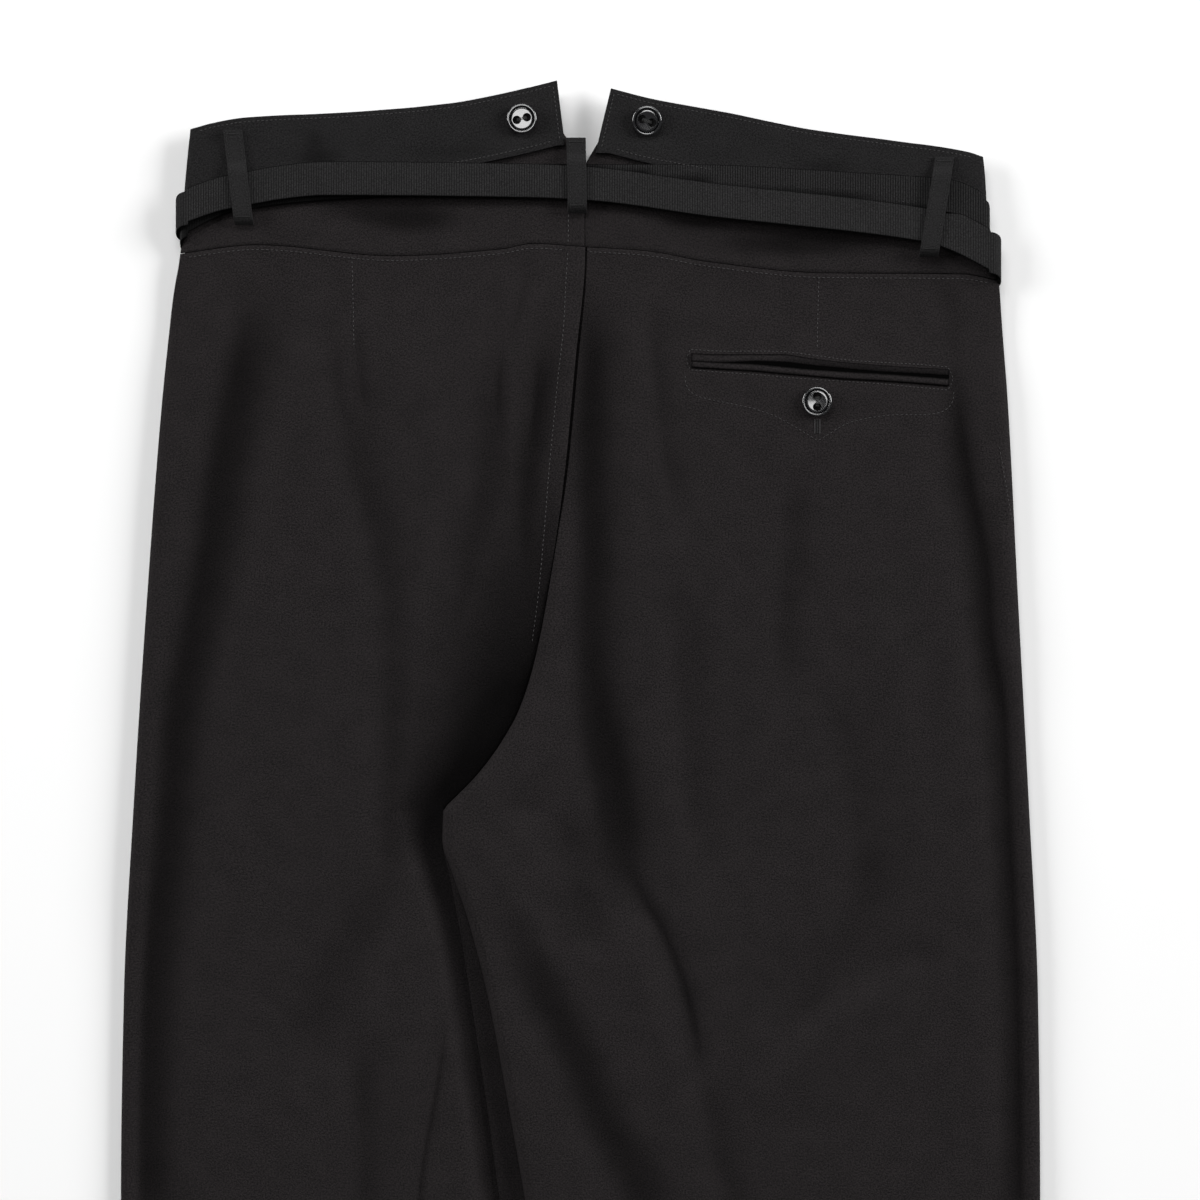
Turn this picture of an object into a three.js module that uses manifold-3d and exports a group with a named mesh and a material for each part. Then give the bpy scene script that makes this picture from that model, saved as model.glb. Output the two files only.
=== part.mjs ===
// Canvas trousers, laid flat with the back up. Millimetres.
// X runs to the right across the legs, Y from the hems to the waist, Z up from the floor.
// "down" is the distance below the highest corner of the back waistband.
// "left" and "right" are the wearer's, which are -X and +X here.

import * as THREE from 'three';
import Module from 'manifold-3d';
import { mergeVertices } from 'three/addons/utils/BufferGeometryUtils.js';

const manifold = await Module();
manifold.setup();

// Driving sizes of the garment
const LENGTH = 1114;
const HIGHEST_Y = LENGTH / 2;
const BAND_HEIGHT = 34;
const FRONT_BAND_HEIGHT = 35;
const RIBBON_WIDTH = 17.5;
const LOOP_WIDTH = 10;
const BUTTON_RADIUS = 7.8;
const BUTTON_HEIGHT = 2.8;
const CROTCH_DOWN = 379;

// Thickness of the cloth and the gaps between pieces
const CLOTH = 1.0;
const BAND = 2.0;
const RIBBON = 1.0;
const LOOP = 1.2;
const GAP = 0.3;
const HALF_GAP = GAP / 2;

// Heights of the layers above the floor, each to its lower face
const FRONT_LOOP_Z = 0;
const RIBBON_OUTER_FRONT_Z = FRONT_LOOP_Z + LOOP + GAP;
const RIBBON_INNER_FRONT_Z = RIBBON_OUTER_FRONT_Z + RIBBON + GAP;
const FRONT_BAND_Z = RIBBON_INNER_FRONT_Z + RIBBON + GAP;
const YOKE_Z = FRONT_BAND_Z + BAND + GAP;
const BACK_BAND_Z = YOKE_Z + CLOTH + GAP;
const RIBBON_INNER_BACK_Z = BACK_BAND_Z + BAND + GAP;
const RIBBON_OUTER_BACK_Z = RIBBON_INNER_BACK_Z + RIBBON + GAP;
const BACK_LOOP_Z = RIBBON_OUTER_BACK_Z + RIBBON + GAP;
const LEG_BACK_Z = 3.6;
const PRESSED_Z = 1.4;
const FLY_LIFT = CLOTH + GAP;
const CROSSED_LEG_LIFT = 3.4;

// Colours
const CLOTH_COLOUR = 0x252222;
const BAND_COLOUR = 0x242424;
const RIBBON_COLOUR = 0x272727;
const BUTTON_COLOUR = 0x141414;

// Depths where a change starts, and how far down it takes to be complete
const CHANGES = {
  waistToFloor: { from: 92, over: 55 },
  yokeToLeg: { from: 84, over: 62 },
  flyEnd: { from: 300, over: 30 },
  legsStartToCross: { from: 305, over: 65 },
  legsStopCrossing: { from: 900, over: 100 },
  seatSinks: { from: 250, over: 110 },
  seamRolls: { from: 210, over: 90 },
  frontReachesSide: { from: 100, over: 50 },
};

// Fly flap, with the clear width that the fronts keep over it
const FLY = { top: 88, bottom: 285, halfWidth: 19, clearHalfWidth: 24, slope: 20 };

// Slanting ends of the back waistband at the notch, and the small V of the yoke between them
const NOTCH = { leftTop: -12.2, leftBottom: -8, rightTop: 15.8, rightBottom: 7.8, x: 2.3, down: 43.7 };

// Radii of the rolled edges
const SIDE_ROLL = 7;
const SEAM_ROLL = 5;
const YOKE_ROLL = 4;
const BAND_ROLL = 3.5;
const FRONT_INSET = 2.5;

// Outer edges of the trousers
const SIDE_EDGES = [
  { down: 26, left: -203, right: 206 },
  { down: 40, left: -204.5, right: 209.5 },
  { down: 57, left: -206, right: 211 },
  { down: 82, left: -207.3, right: 212 },
  { down: 98, left: -209.6, right: 214.5 },
  { down: 106, left: -211, right: 218 },
  { down: 120, left: -213, right: 219 },
  { down: 166, left: -218, right: 222.6 },
  { down: 270, left: -226, right: 228 },
  { down: 374, left: -232.7, right: 233.5 },
  { down: 478, left: -238, right: 238.4 },
  { down: 582, left: -239.5, right: 239.5 },
  { down: 738, left: -237, right: 236.5 },
  { down: 925, left: -231, right: 231 },
  { down: 1114, left: -225, right: 226 },
];

// The seat seam, from the waist down to the crotch
const CENTRE_SEAM = [
  { down: 40, x: 2.3 },
  { down: 87, x: 2.3 },
  { down: 147, x: -2.9 },
  { down: 201, x: -8 },
  { down: 271, x: -17.9 },
  { down: 304, x: -24.7 },
  { down: 328, x: -32.5 },
  { down: 345, x: -41.9 },
  { down: 361, x: -53.8 },
  { down: CROTCH_DOWN, x: -71.5 },
];

// Inner edges of the legs below the crotch: the right leg lies over the left one
const INNER_EDGES = [
  { down: CROTCH_DOWN, leftLeg: -71.5, rightBack: -71.5, rightFront: -71.5 },
  { down: 395, leftLeg: -56, rightBack: -72, rightFront: -72 },
  { down: 410, leftLeg: -36, rightBack: -67.5, rightFront: -69 },
  { down: 435, leftLeg: -11, rightBack: -59, rightFront: -64 },
  { down: 475, leftLeg: 11, rightBack: -48.6, rightFront: -57.5 },
  { down: 531, leftLeg: 26, rightBack: -38, rightFront: -49 },
  { down: 582, leftLeg: 34, rightBack: -29, rightFront: -42 },
  { down: 738, leftLeg: 9, rightBack: -5, rightFront: -12 },
  { down: 925, leftLeg: -2, rightBack: 8, rightFront: 4 },
  { down: 1114, leftLeg: -9, rightBack: 10, rightFront: 10 },
];

// Line on the left leg where it starts to sink under the right leg
const SINK_LINE = [
  { down: CROTCH_DOWN, x: -100 },
  { down: 430, x: -86 },
  { down: 486, x: -74 },
  { down: 543, x: -81 },
  { down: 582, x: -85 },
  { down: 738, x: -50 },
  { down: 925, x: -25 },
];

// Top edge of the back waistband, which rises to two points beside the notch
const BAND_TOP_LEFT = [
  { x: -206, down: 27 },
  { x: -192, down: 22.4 },
  { x: -172, down: 19.2 },
  { x: -120, down: 16.6 },
  { x: -68, down: 12 },
  { x: -26, down: 3.6 },
  { x: -12, down: 0 },
];
const BAND_TOP_RIGHT = [
  { x: 15, down: 4 },
  { x: 36, down: 9.4 },
  { x: 78, down: 17.2 },
  { x: 119, down: 25.5 },
  { x: 161, down: 31.2 },
  { x: 202, down: 37.4 },
  { x: 212, down: 42 },
];

// Seam between the yoke and the legs
const YOKE_SEAM = [
  { x: -209, down: 90 },
  { x: -168, down: 85.3 },
  { x: -98, down: 91 },
  { x: -41, down: 87.4 },
  { x: -25, down: 84.6 },
  { x: 2.3, down: 86.3 },
  { x: 34, down: 88.4 },
  { x: 67, down: 94.1 },
  { x: 125, down: 99.8 },
  { x: 198, down: 100.4 },
  { x: 218, down: 104 },
];

// Top edge of each turn of the ribbon belt across the back, and of both at the middle of the front
const RIBBON_OUTER_LINE = [
  { x: -209, down: 58.2 },
  { x: -184, down: 49.9 },
  { x: -131, down: 42.6 },
  { x: -28, down: 43.7 },
  { x: 4, down: 45.2 },
  { x: 67, down: 53.6 },
  { x: 178, down: 66.6 },
  { x: 190, down: 70.2 },
  { x: 216, down: 83.2 },
];
const RIBBON_INNER_LINE = [
  { x: -209, down: 64.2 },
  { x: -181, down: 51.2 },
  { x: -131, down: 44.8 },
  { x: -83, down: 42.9 },
  { x: 4, down: 43.7 },
  { x: 51, down: 43.7 },
  { x: 150, down: 48.4 },
  { x: 192, down: 51.6 },
  { x: 216, down: 61.9 },
];
const RIBBON_FRONT_DOWN = 66;

// Soft folds of the back, each from its top through a middle point to its bottom
const LEFT_FOLDS = [
  { top: 100, topX: -171, middleX: -203, bottom: 640, bottomX: -226, width: 11, rise: -1.7 },
  { top: 140, topX: -119, middleX: -108, bottom: 430, bottomX: -93, width: 18, rise: -1.7 },
  { top: 118, topX: -20, middleX: -30, bottom: 352, bottomX: -52, width: 9, rise: -1.5 },
  { top: 140, topX: -40, middleX: -52, bottom: 400, bottomX: -70, width: 13, rise: -1.6 },
  { top: 430, topX: -100, middleX: -86, bottom: 660, bottomX: -94, width: 12, rise: 1.1 },
  { top: 690, topX: -190, middleX: -120, bottom: 830, bottomX: -60, width: 22, rise: -1.2 },
];
const RIGHT_FOLDS = [
  { top: 105, topX: 13, middleX: 4, bottom: 410, bottomX: 14, width: 10, rise: -1.5 },
  { top: 385, topX: 12, middleX: 46, bottom: 580, bottomX: 68, width: 13, rise: -1.7 },
  { top: 420, topX: -46, middleX: -6, bottom: 660, bottomX: 50, width: 16, rise: -2.0 },
  { top: 100, topX: 188, middleX: 213, bottom: 640, bottomX: 229, width: 10, rise: -1.7 },
  { top: 440, topX: 178, middleX: 130, bottom: 590, bottomX: 80, width: 20, rise: 1.0 },
  { top: 690, topX: 190, middleX: 120, bottom: 830, bottomX: 50, width: 22, rise: -1.2 },
];

// Ends of the welt pocket, along its upper edge, and the size of a welt
const POCKET_START = { x: 57.5, down: 142 };
const POCKET_END = { x: 193, down: 151 };
const WELT_HEIGHT = 3.3;
const POCKET_SLIT = 1.0;
const WELT_CLEARANCE = 0.5;
const POCKET_STEPS = 12;

// Buttons: the middle, and the direction of the two holes in degrees
const BRACE_BUTTONS = [
  { name: 'brace_button_left', x: -30.4, down: 20.3, turn: 15 },
  { name: 'brace_button_right', x: 34.6, down: 21.3, turn: -20 },
];
const POCKET_BUTTON = { name: 'pocket_button', x: 123, down: 167, turn: 90 };
const BUTTON_HOLE_RADIUS = 1.1;
const BUTTON_HOLE_SPACING = 4.6;
const BUTTON_CLEARANCE = 0.5;

// Belt loops: the middle of each end on the back, and the middle on the front
const BELT_LOOPS = [
  { name: 'belt_loop_left', topX: -180.5, top: 26, bottomX: -174.5, bottom: 74.5 },
  { name: 'belt_loop_centre', topX: -2.3, top: 30, bottomX: -1.6, bottom: 68.5 },
  { name: 'belt_loop_right', topX: 189, top: 40, bottomX: 180.6, bottom: 91 },
];
const FRONT_BELT_LOOPS = [
  { name: 'belt_loop_front_left', x: -106 },
  { name: 'belt_loop_front_right', x: 110 },
];

// Small shared tools
function clamp01(t) {
  return Math.min(1, Math.max(0, t));
}

function ease(t) {
  const s = clamp01(t);
  return s * s * (3 - 2 * s);
}

function mix(a, b, t) {
  return a + (b - a) * t;
}

// A maximum with a soft corner, never below either value
function softMax(a, b) {
  const corner = 0.4;
  return (a + b + Math.hypot(a - b, corner)) / 2;
}

// A smooth curve through a table's rows, with no overshoot
function curveAt(table, key, column, at) {
  const last = table.length - 1;
  if (at <= table[0][key]) return table[0][column];
  if (at >= table[last][key]) return table[last][column];
  const slope = (i) => (table[i + 1][column] - table[i][column]) / (table[i + 1][key] - table[i][key]);
  const tangent = (i) => {
    if (i === 0) return slope(0);
    if (i === last) return slope(last - 1);
    const before = slope(i - 1);
    const after = slope(i);
    return before * after <= 0 ? 0 : (2 * before * after) / (before + after);
  };
  let i = 0;
  while (table[i + 1][key] < at) i += 1;
  const step = table[i + 1][key] - table[i][key];
  const t = (at - table[i][key]) / step;
  const bend = tangent(i) * step * t * (1 - t) * (1 - t) - tangent(i + 1) * step * t * t * (1 - t);
  return mix(table[i][column], table[i + 1][column], t * t * (3 - 2 * t)) + bend;
}

// A closed wall from a grid of lower points and a grid of upper points
function wall(lower, upper) {
  const rows = lower.length;
  const columns = lower[0].length;
  const count = rows * columns;
  const positions = [...lower.flat(), ...upper.flat()].flatMap((p) => [p.x, p.y, p.z]);
  const under = (i, j) => i * columns + j;
  const over = (i, j) => count + i * columns + j;
  const faces = [];
  const quad = (a, b, c, d) => faces.push(a, b, c, a, c, d);
  for (let i = 0; i < rows - 1; i += 1) {
    for (let j = 0; j < columns - 1; j += 1) {
      quad(over(i, j), over(i + 1, j), over(i + 1, j + 1), over(i, j + 1));
      quad(under(i, j), under(i, j + 1), under(i + 1, j + 1), under(i + 1, j));
    }
    quad(under(i, 0), under(i + 1, 0), over(i + 1, 0), over(i, 0));
    quad(over(i, columns - 1), over(i + 1, columns - 1), under(i + 1, columns - 1), under(i, columns - 1));
  }
  for (let j = 0; j < columns - 1; j += 1) {
    quad(under(0, j + 1), under(0, j), over(0, j), over(0, j + 1));
    quad(under(rows - 1, j), under(rows - 1, j + 1), over(rows - 1, j + 1), over(rows - 1, j));
  }
  return outwardGeometry(positions, faces);
}

// Turns every face round when the solid's signed volume is negative
function outwardGeometry(positions, faces) {
  let volume = 0;
  const corner = (k) => new THREE.Vector3().fromArray(positions, 3 * k);
  for (let f = 0; f < faces.length; f += 3) {
    const across = corner(faces[f + 1]).cross(corner(faces[f + 2]));
    volume += corner(faces[f]).dot(across);
  }
  if (volume < 0) {
    for (let f = 0; f < faces.length; f += 3) {
      const kept = faces[f + 1];
      faces[f + 1] = faces[f + 2];
      faces[f + 2] = kept;
    }
  }
  const geometry = new THREE.BufferGeometry();
  geometry.setAttribute('position', new THREE.Float32BufferAttribute(positions, 3));
  geometry.setIndex(faces);
  return geometry;
}

function garmentPoint(x, down, z) {
  return new THREE.Vector3(x, HIGHEST_Y - down, z);
}

// Lines of the garment
const sideLeft = (down) => curveAt(SIDE_EDGES, 'down', 'left', down);
const sideRight = (down) => curveAt(SIDE_EDGES, 'down', 'right', down);
const centreSeam = (down) => curveAt(CENTRE_SEAM, 'down', 'x', down);
const innerEdge = (column, down) => curveAt(INNER_EDGES, 'down', column, down);
const yokeSeam = (x) => curveAt(YOKE_SEAM, 'x', 'down', x);
const bandTop = (x) => curveAt(x < 0 ? BAND_TOP_LEFT : BAND_TOP_RIGHT, 'x', 'down', x);

// Top edge of the front waistband, lower in the middle than the back, so the notch stays open
function frontBandTop(x) {
  const middleDown = 49;
  const side = x < 0 ? { x: -204, down: 29 } : { x: 208, down: 42 };
  return mix(middleDown, side.down, ease(Math.abs(x / side.x)));
}

// Share of a change that is complete at a depth
function changed(name, down) {
  return ease((down - CHANGES[name].from) / CHANGES[name].over);
}

// Height that the waist layers add under the front, fading out down the legs
function waistLift(down) {
  return FRONT_BAND_Z * (1 - changed('waistToFloor', down));
}

// Height of the front panels' lower face, with room under them for the fly flap
function frontHeight(x, down) {
  const across = 1 - ease((Math.abs(x - centreSeam(down)) - FLY.clearHalfWidth) / FLY.slope);
  const along = 1 - changed('flyEnd', down);
  const lift = waistLift(down);
  return lift + FLY_LIFT * across * along * (1 - lift / FRONT_BAND_Z);
}

// Height that the right leg gains where it lies over the left one
function crossedLegLift(x, down) {
  const under = down < CROTCH_DOWN ? centreSeam(down) : innerEdge('leftLeg', down);
  const margin = 22;
  const slope = 32;
  const across = 1 - ease((x - under - margin) / slope);
  const along = changed('legsStartToCross', down) * (1 - changed('legsStopCrossing', down));
  return CROSSED_LEG_LIFT * across * along;
}

function rightFrontHeight(x, down) {
  return frontHeight(x, down) + crossedLegLift(x, down);
}

// Height of a soft fold at a point, from the fold tables
function foldHeight(table, x, down) {
  const endShare = 0.25;
  let height = 0;
  for (const fold of table) {
    const t = clamp01((down - fold.top) / (fold.bottom - fold.top));
    const ends = fold.topX * (1 - t) * (1 - 2 * t) + fold.bottomX * t * (2 * t - 1);
    const line = ends + fold.middleX * 4 * t * (1 - t);
    const strength = ease(t / endShare) * ease((1 - t) / endShare);
    const offset = (x - line) / fold.width;
    height += fold.rise * strength * Math.exp(-offset * offset);
  }
  return height;
}

function backBase(down) {
  return mix(YOKE_Z, LEG_BACK_Z, changed('yokeToLeg', down));
}

// Lower face of the left back: full and soft, and pressed flat under the right leg
function leftBackHeight(x, down) {
  const above = down < CROTCH_DOWN;
  const sinkWidth = 30;
  const flatWidth = 4;
  const edge = above ? centreSeam(down) : innerEdge('rightFront', down);
  const sink = above ? edge - sinkWidth : curveAt(SINK_LINE, 'down', 'x', down);
  const across = ease((x - sink) / (edge - flatWidth - sink));
  const along = changed('seatSinks', down) * (1 - changed('legsStopCrossing', down));
  const free = backBase(down) + foldHeight(LEFT_FOLDS, x, down);
  return softMax(mix(free, PRESSED_Z, across * along), frontHeight(x, down) + CLOTH + GAP);
}

function rightBackHeight(x, down) {
  const free = backBase(down) + foldHeight(RIGHT_FOLDS, x, down) + crossedLegLift(x, down);
  return softMax(free, rightFrontHeight(x, down) + CLOTH + GAP);
}

// Stops across a panel: a rolled outer edge, the body, and a rolled inner edge
function stopsAcross(outerSteps, bodySteps, innerSteps) {
  const stops = [];
  for (let k = 0; k < outerSteps; k += 1) {
    stops.push({ zone: 'outer', turn: (k / outerSteps) * (Math.PI / 2) });
  }
  for (let k = 0; k <= bodySteps; k += 1) stops.push({ zone: 'body', share: k / bodySteps });
  for (let k = innerSteps - 1; k >= 0; k -= 1) {
    stops.push({ zone: 'inner', turn: (k / innerSteps) * (Math.PI / 2) });
  }
  return stops;
}

// A point of a panel's lower face at one depth and stop, and the way its wall leans there
function panelPoint(shape, down, stop) {
  const outer = shape.outer(down);
  const inner = shape.inner(down);
  const inward = Math.sign(inner - outer);
  const outerRoll = shape.outerRoll ? shape.thickness + shape.outerRoll : 0;
  const innerRoll = shape.innerRoll ? shape.thickness + shape.innerRoll : 0;
  if (stop.zone === 'body') {
    const x = mix(outer + inward * outerRoll, inner - inward * innerRoll, stop.share);
    return { x, z: shape.height(x, down), leanX: 0, leanZ: 1 };
  }
  const atOuter = stop.zone === 'outer';
  const edge = atOuter ? outer : inner;
  const away = atOuter ? inward : -inward;
  const radius = atOuter ? shape.outerRoll : shape.innerRoll;
  const x = edge + away * (shape.thickness + radius * (1 - Math.cos(stop.turn)));
  const edgeHeight = atOuter ? shape.outerEdgeHeight : shape.innerEdgeHeight;
  const z = mix(edgeHeight(x, down), shape.height(x, down), Math.sin(stop.turn));
  return { x, z, leanX: -away * Math.cos(stop.turn), leanZ: Math.sin(stop.turn) };
}

// A cloth panel between a top line and a bottom line, as one closed wall
function panel(shape) {
  const settleSteps = 4;
  const lower = [];
  const upper = [];
  for (const share of shape.rows) {
    const lowerRow = [];
    const upperRow = [];
    for (const stop of shape.stops) {
      let down = mix(shape.top(0), shape.bottom(0), share);
      let point = panelPoint(shape, down, stop);
      for (let k = 0; k < settleSteps; k += 1) {
        down = mix(shape.top(point.x), shape.bottom(point.x), share);
        point = panelPoint(shape, down, stop);
      }
      const low = garmentPoint(point.x, down, point.z);
      lowerRow.push(low);
      const lean = new THREE.Vector3(point.leanX, 0, point.leanZ).multiplyScalar(shape.thickness);
      upperRow.push(low.clone().add(lean));
    }
    lower.push(lowerRow);
    upper.push(upperRow);
  }
  return wall(lower, upper);
}

// Shares of the way from a panel's top to the hem, closest together where the folds are
function rowShares(topDown, stretches) {
  const shares = [0];
  let from = topDown;
  for (const stretch of stretches) {
    for (let k = 1; k <= stretch.steps; k += 1) {
      const down = mix(from, stretch.to, k / stretch.steps);
      shares.push((down - topDown) / (LENGTH - topDown));
    }
    from = stretch.to;
  }
  return shares;
}

function evenShares(steps) {
  return Array.from({ length: steps + 1 }, (_, k) => k / steps);
}

// Rows of the seat, shared by the fronts and the backs so that their seams match
const SEAT_TOP = yokeSeam(centreSeam(87)) + HALF_GAP;
const SEAT_STEPS = 16;
const UPPER_STEPS = 2;
const UPPER_END = mix(SEAT_TOP, CROTCH_DOWN, UPPER_STEPS / SEAT_STEPS);
const THIGH_END = 600;

const seamOrInner = (column, offset) => (down) => {
  const line = down <= CROTCH_DOWN ? centreSeam(down) : innerEdge(column, down);
  return line + offset;
};

// Back legs
function backLeg(side) {
  const isLeft = side === 'left';
  const frontTopFace = isLeft ? frontHeight : rightFrontHeight;
  const height = isLeft ? leftBackHeight : rightBackHeight;
  const restOnFront = (x, down) => frontTopFace(x, down) + CLOTH + 2 * GAP;
  return panel({
    top: (x) => yokeSeam(x) + HALF_GAP,
    bottom: () => LENGTH,
    rows: rowShares(SEAT_TOP, [
      { to: CROTCH_DOWN, steps: SEAT_STEPS },
      { to: THIGH_END, steps: 12 },
      { to: LENGTH, steps: 9 },
    ]),
    stops: stopsAcross(4, isLeft ? 19 : 20, isLeft ? 0 : 3),
    outer: isLeft ? sideLeft : sideRight,
    inner: isLeft ? seamOrInner('leftLeg', -HALF_GAP) : seamOrInner('rightBack', HALF_GAP),
    outerRoll: SIDE_ROLL,
    innerRoll: isLeft ? 0 : SEAM_ROLL,
    outerEdgeHeight: restOnFront,
    innerEdgeHeight: (x, down) => mix(height(x, down), restOnFront(x, down), changed('seamRolls', down)),
    height,
    thickness: CLOTH,
  });
}

// Front legs, flat on the floor
function frontLeg(side) {
  const isLeft = side === 'left';
  const topLine = (x) => frontBandTop(x) + FRONT_BAND_HEIGHT + GAP;
  const inset = (down) => FRONT_INSET * (1 - changed('frontReachesSide', down));
  return panel({
    top: topLine,
    bottom: () => LENGTH,
    rows: rowShares(topLine(0), [
      { to: UPPER_END, steps: UPPER_STEPS },
      { to: CROTCH_DOWN, steps: SEAT_STEPS - UPPER_STEPS },
      { to: THIGH_END, steps: 8 },
      { to: LENGTH, steps: 9 },
    ]),
    stops: stopsAcross(0, isLeft ? 8 : 12, 0),
    outer: isLeft ? (down) => sideLeft(down) + inset(down) : (down) => sideRight(down) - inset(down),
    inner: isLeft ? seamOrInner('leftLeg', -HALF_GAP) : seamOrInner('rightFront', HALF_GAP),
    height: isLeft ? frontHeight : rightFrontHeight,
    thickness: CLOTH,
  });
}

// Back yoke, whose top edge runs under the waistband and dips to a small V in the middle
function yoke(side) {
  const isLeft = side === 'left';
  const lap = 8;
  const reach = isLeft ? 12 : 8;
  const outer = isLeft ? sideLeft : sideRight;
  const topLine = (x) => {
    const bandBottom = bandTop(x) + BAND_HEIGHT;
    const fromSide = Math.abs(outer(bandBottom) - x);
    const underBand = bandBottom - mix(-GAP, lap, clamp01((fromSide - 8) / 6));
    return mix(NOTCH.down, underBand, clamp01(Math.abs(x - NOTCH.x) / reach));
  };
  return panel({
    top: topLine,
    bottom: (x) => yokeSeam(x) - HALF_GAP,
    rows: evenShares(4),
    stops: stopsAcross(3, 14, 0),
    outer,
    inner: (down) => centreSeam(down) + (isLeft ? -HALF_GAP : HALF_GAP),
    outerRoll: YOKE_ROLL,
    outerEdgeHeight: (x, down) => frontHeight(x, down) + CLOTH + GAP,
    height: (x, down) => backBase(down),
    thickness: CLOTH,
  });
}

// Back waistband half, with a slanting end at the notch
function backBand(side) {
  const isLeft = side === 'left';
  const slantLeft = (down) => mix(NOTCH.leftTop, NOTCH.leftBottom, down / BAND_HEIGHT);
  const slantTop = BAND_TOP_RIGHT[0].down;
  const slantRight = (down) => mix(NOTCH.rightTop, NOTCH.rightBottom, (down - slantTop) / BAND_HEIGHT);
  return panel({
    top: bandTop,
    bottom: (x) => bandTop(x) + BAND_HEIGHT,
    rows: evenShares(3),
    stops: stopsAcross(3, 13, 0),
    outer: isLeft ? sideLeft : sideRight,
    inner: isLeft ? slantLeft : slantRight,
    outerRoll: BAND_ROLL,
    outerEdgeHeight: () => YOKE_Z,
    height: () => BACK_BAND_Z,
    thickness: BAND,
  });
}

// Front waistband half
function frontBand(side) {
  const isLeft = side === 'left';
  return panel({
    top: frontBandTop,
    bottom: (x) => frontBandTop(x) + FRONT_BAND_HEIGHT,
    rows: evenShares(1),
    stops: stopsAcross(0, 10, 0),
    outer: (down) => (isLeft ? sideLeft(down) + FRONT_INSET : sideRight(down) - FRONT_INSET),
    inner: (down) => centreSeam(down) + (isLeft ? -HALF_GAP : HALF_GAP),
    height: () => FRONT_BAND_Z,
    thickness: BAND,
  });
}

// Fly flap, on the outside of the front and so under it
function flyFlap() {
  return panel({
    top: () => FLY.top,
    bottom: () => FLY.bottom,
    rows: evenShares(10),
    stops: stopsAcross(0, 3, 0),
    outer: (down) => centreSeam(down) - FLY.halfWidth,
    inner: (down) => centreSeam(down) + FLY.halfWidth,
    height: (x, down) => frontHeight(centreSeam(down), down) - FLY_LIFT,
    thickness: CLOTH,
  });
}

// Depth of the ribbon's top edge across the front, at a share of the way from the middle to a side
function ribbonFrontDown(sideDown, share) {
  return mix(RIBBON_FRONT_DOWN, sideDown, ease(share));
}

// One turn of the ribbon belt: along the front to the left, round the side, over the back and round again
function ribbonTurn(layer) {
  const isInner = layer === 'inner';
  const line = isInner ? RIBBON_INNER_LINE : RIBBON_OUTER_LINE;
  const backZ = (isInner ? RIBBON_INNER_BACK_Z : RIBBON_OUTER_BACK_Z) + RIBBON / 2;
  const frontZ = (isInner ? RIBBON_INNER_FRONT_Z : RIBBON_OUTER_FRONT_Z) + RIBBON / 2;
  const clearance = isInner ? 1.3 : 2.6;
  const wrapStart = 3.2;
  const middleZ = (backZ + frontZ) / 2;
  const halfHeight = (backZ - frontZ) / 2;
  const leftDown = line[0].down;
  const rightDown = line[line.length - 1].down;
  const leftX = sideLeft(RIBBON_INNER_LINE[0].down + RIBBON_WIDTH) + wrapStart;
  const rightX = sideRight(rightDown + RIBBON_WIDTH) - wrapStart;
  const middleX = 2;
  const stations = [];
  const frontSteps = 4;
  const backSteps = 26;
  const wrapSteps = 8;
  for (let k = 0; k < frontSteps; k += 1) {
    const t = k / frontSteps;
    const x = mix(middleX - HALF_GAP, leftX, t);
    stations.push({ x, z: frontZ, down: ribbonFrontDown(leftDown, t), leanX: 0, leanZ: -1 });
  }
  const wrap = (edgeX, sign, down) => {
    for (let k = 0; k <= wrapSteps; k += 1) {
      const angle = -Math.PI / 2 + (k / wrapSteps) * Math.PI;
      const out = Math.cos(angle);
      const up = Math.sin(angle) * -sign;
      const x = edgeX + sign * out * (wrapStart + clearance);
      stations.push({ x, z: middleZ + up * halfHeight, down, leanX: sign * out, leanZ: up });
    }
  };
  wrap(leftX, -1, leftDown);
  for (let k = 1; k < backSteps; k += 1) {
    const x = mix(leftX, rightX, k / backSteps);
    stations.push({ x, z: backZ, down: curveAt(line, 'x', 'down', x), leanX: 0, leanZ: 1 });
  }
  wrap(rightX, 1, rightDown);
  for (let k = 1; k <= frontSteps; k += 1) {
    const t = 1 - k / frontSteps;
    const x = mix(middleX + HALF_GAP, rightX, t);
    stations.push({ x, z: frontZ, down: ribbonFrontDown(rightDown, t), leanX: 0, leanZ: -1 });
  }
  const face = (sign) => [0, RIBBON_WIDTH].map((across) => stations.map((s) => {
    const reach = (sign * RIBBON) / 2;
    return garmentPoint(s.x + s.leanX * reach, s.down + across, s.z + s.leanZ * reach);
  }));
  return wall(face(-1), face(1));
}

// A belt loop along a path of depths and lower-face heights
function loopStrip(topX, bottomX, path) {
  const top = path[0].down;
  const bottom = path[path.length - 1].down;
  const edge = (side, lift) => path.map((stop) => {
    const x = mix(topX, bottomX, (stop.down - top) / (bottom - top)) + (side * LOOP_WIDTH) / 2;
    return garmentPoint(x, stop.down, stop.z + lift);
  });
  return wall([edge(-1, 0), edge(1, 0)], [edge(-1, LOOP), edge(1, LOOP)]);
}

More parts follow.
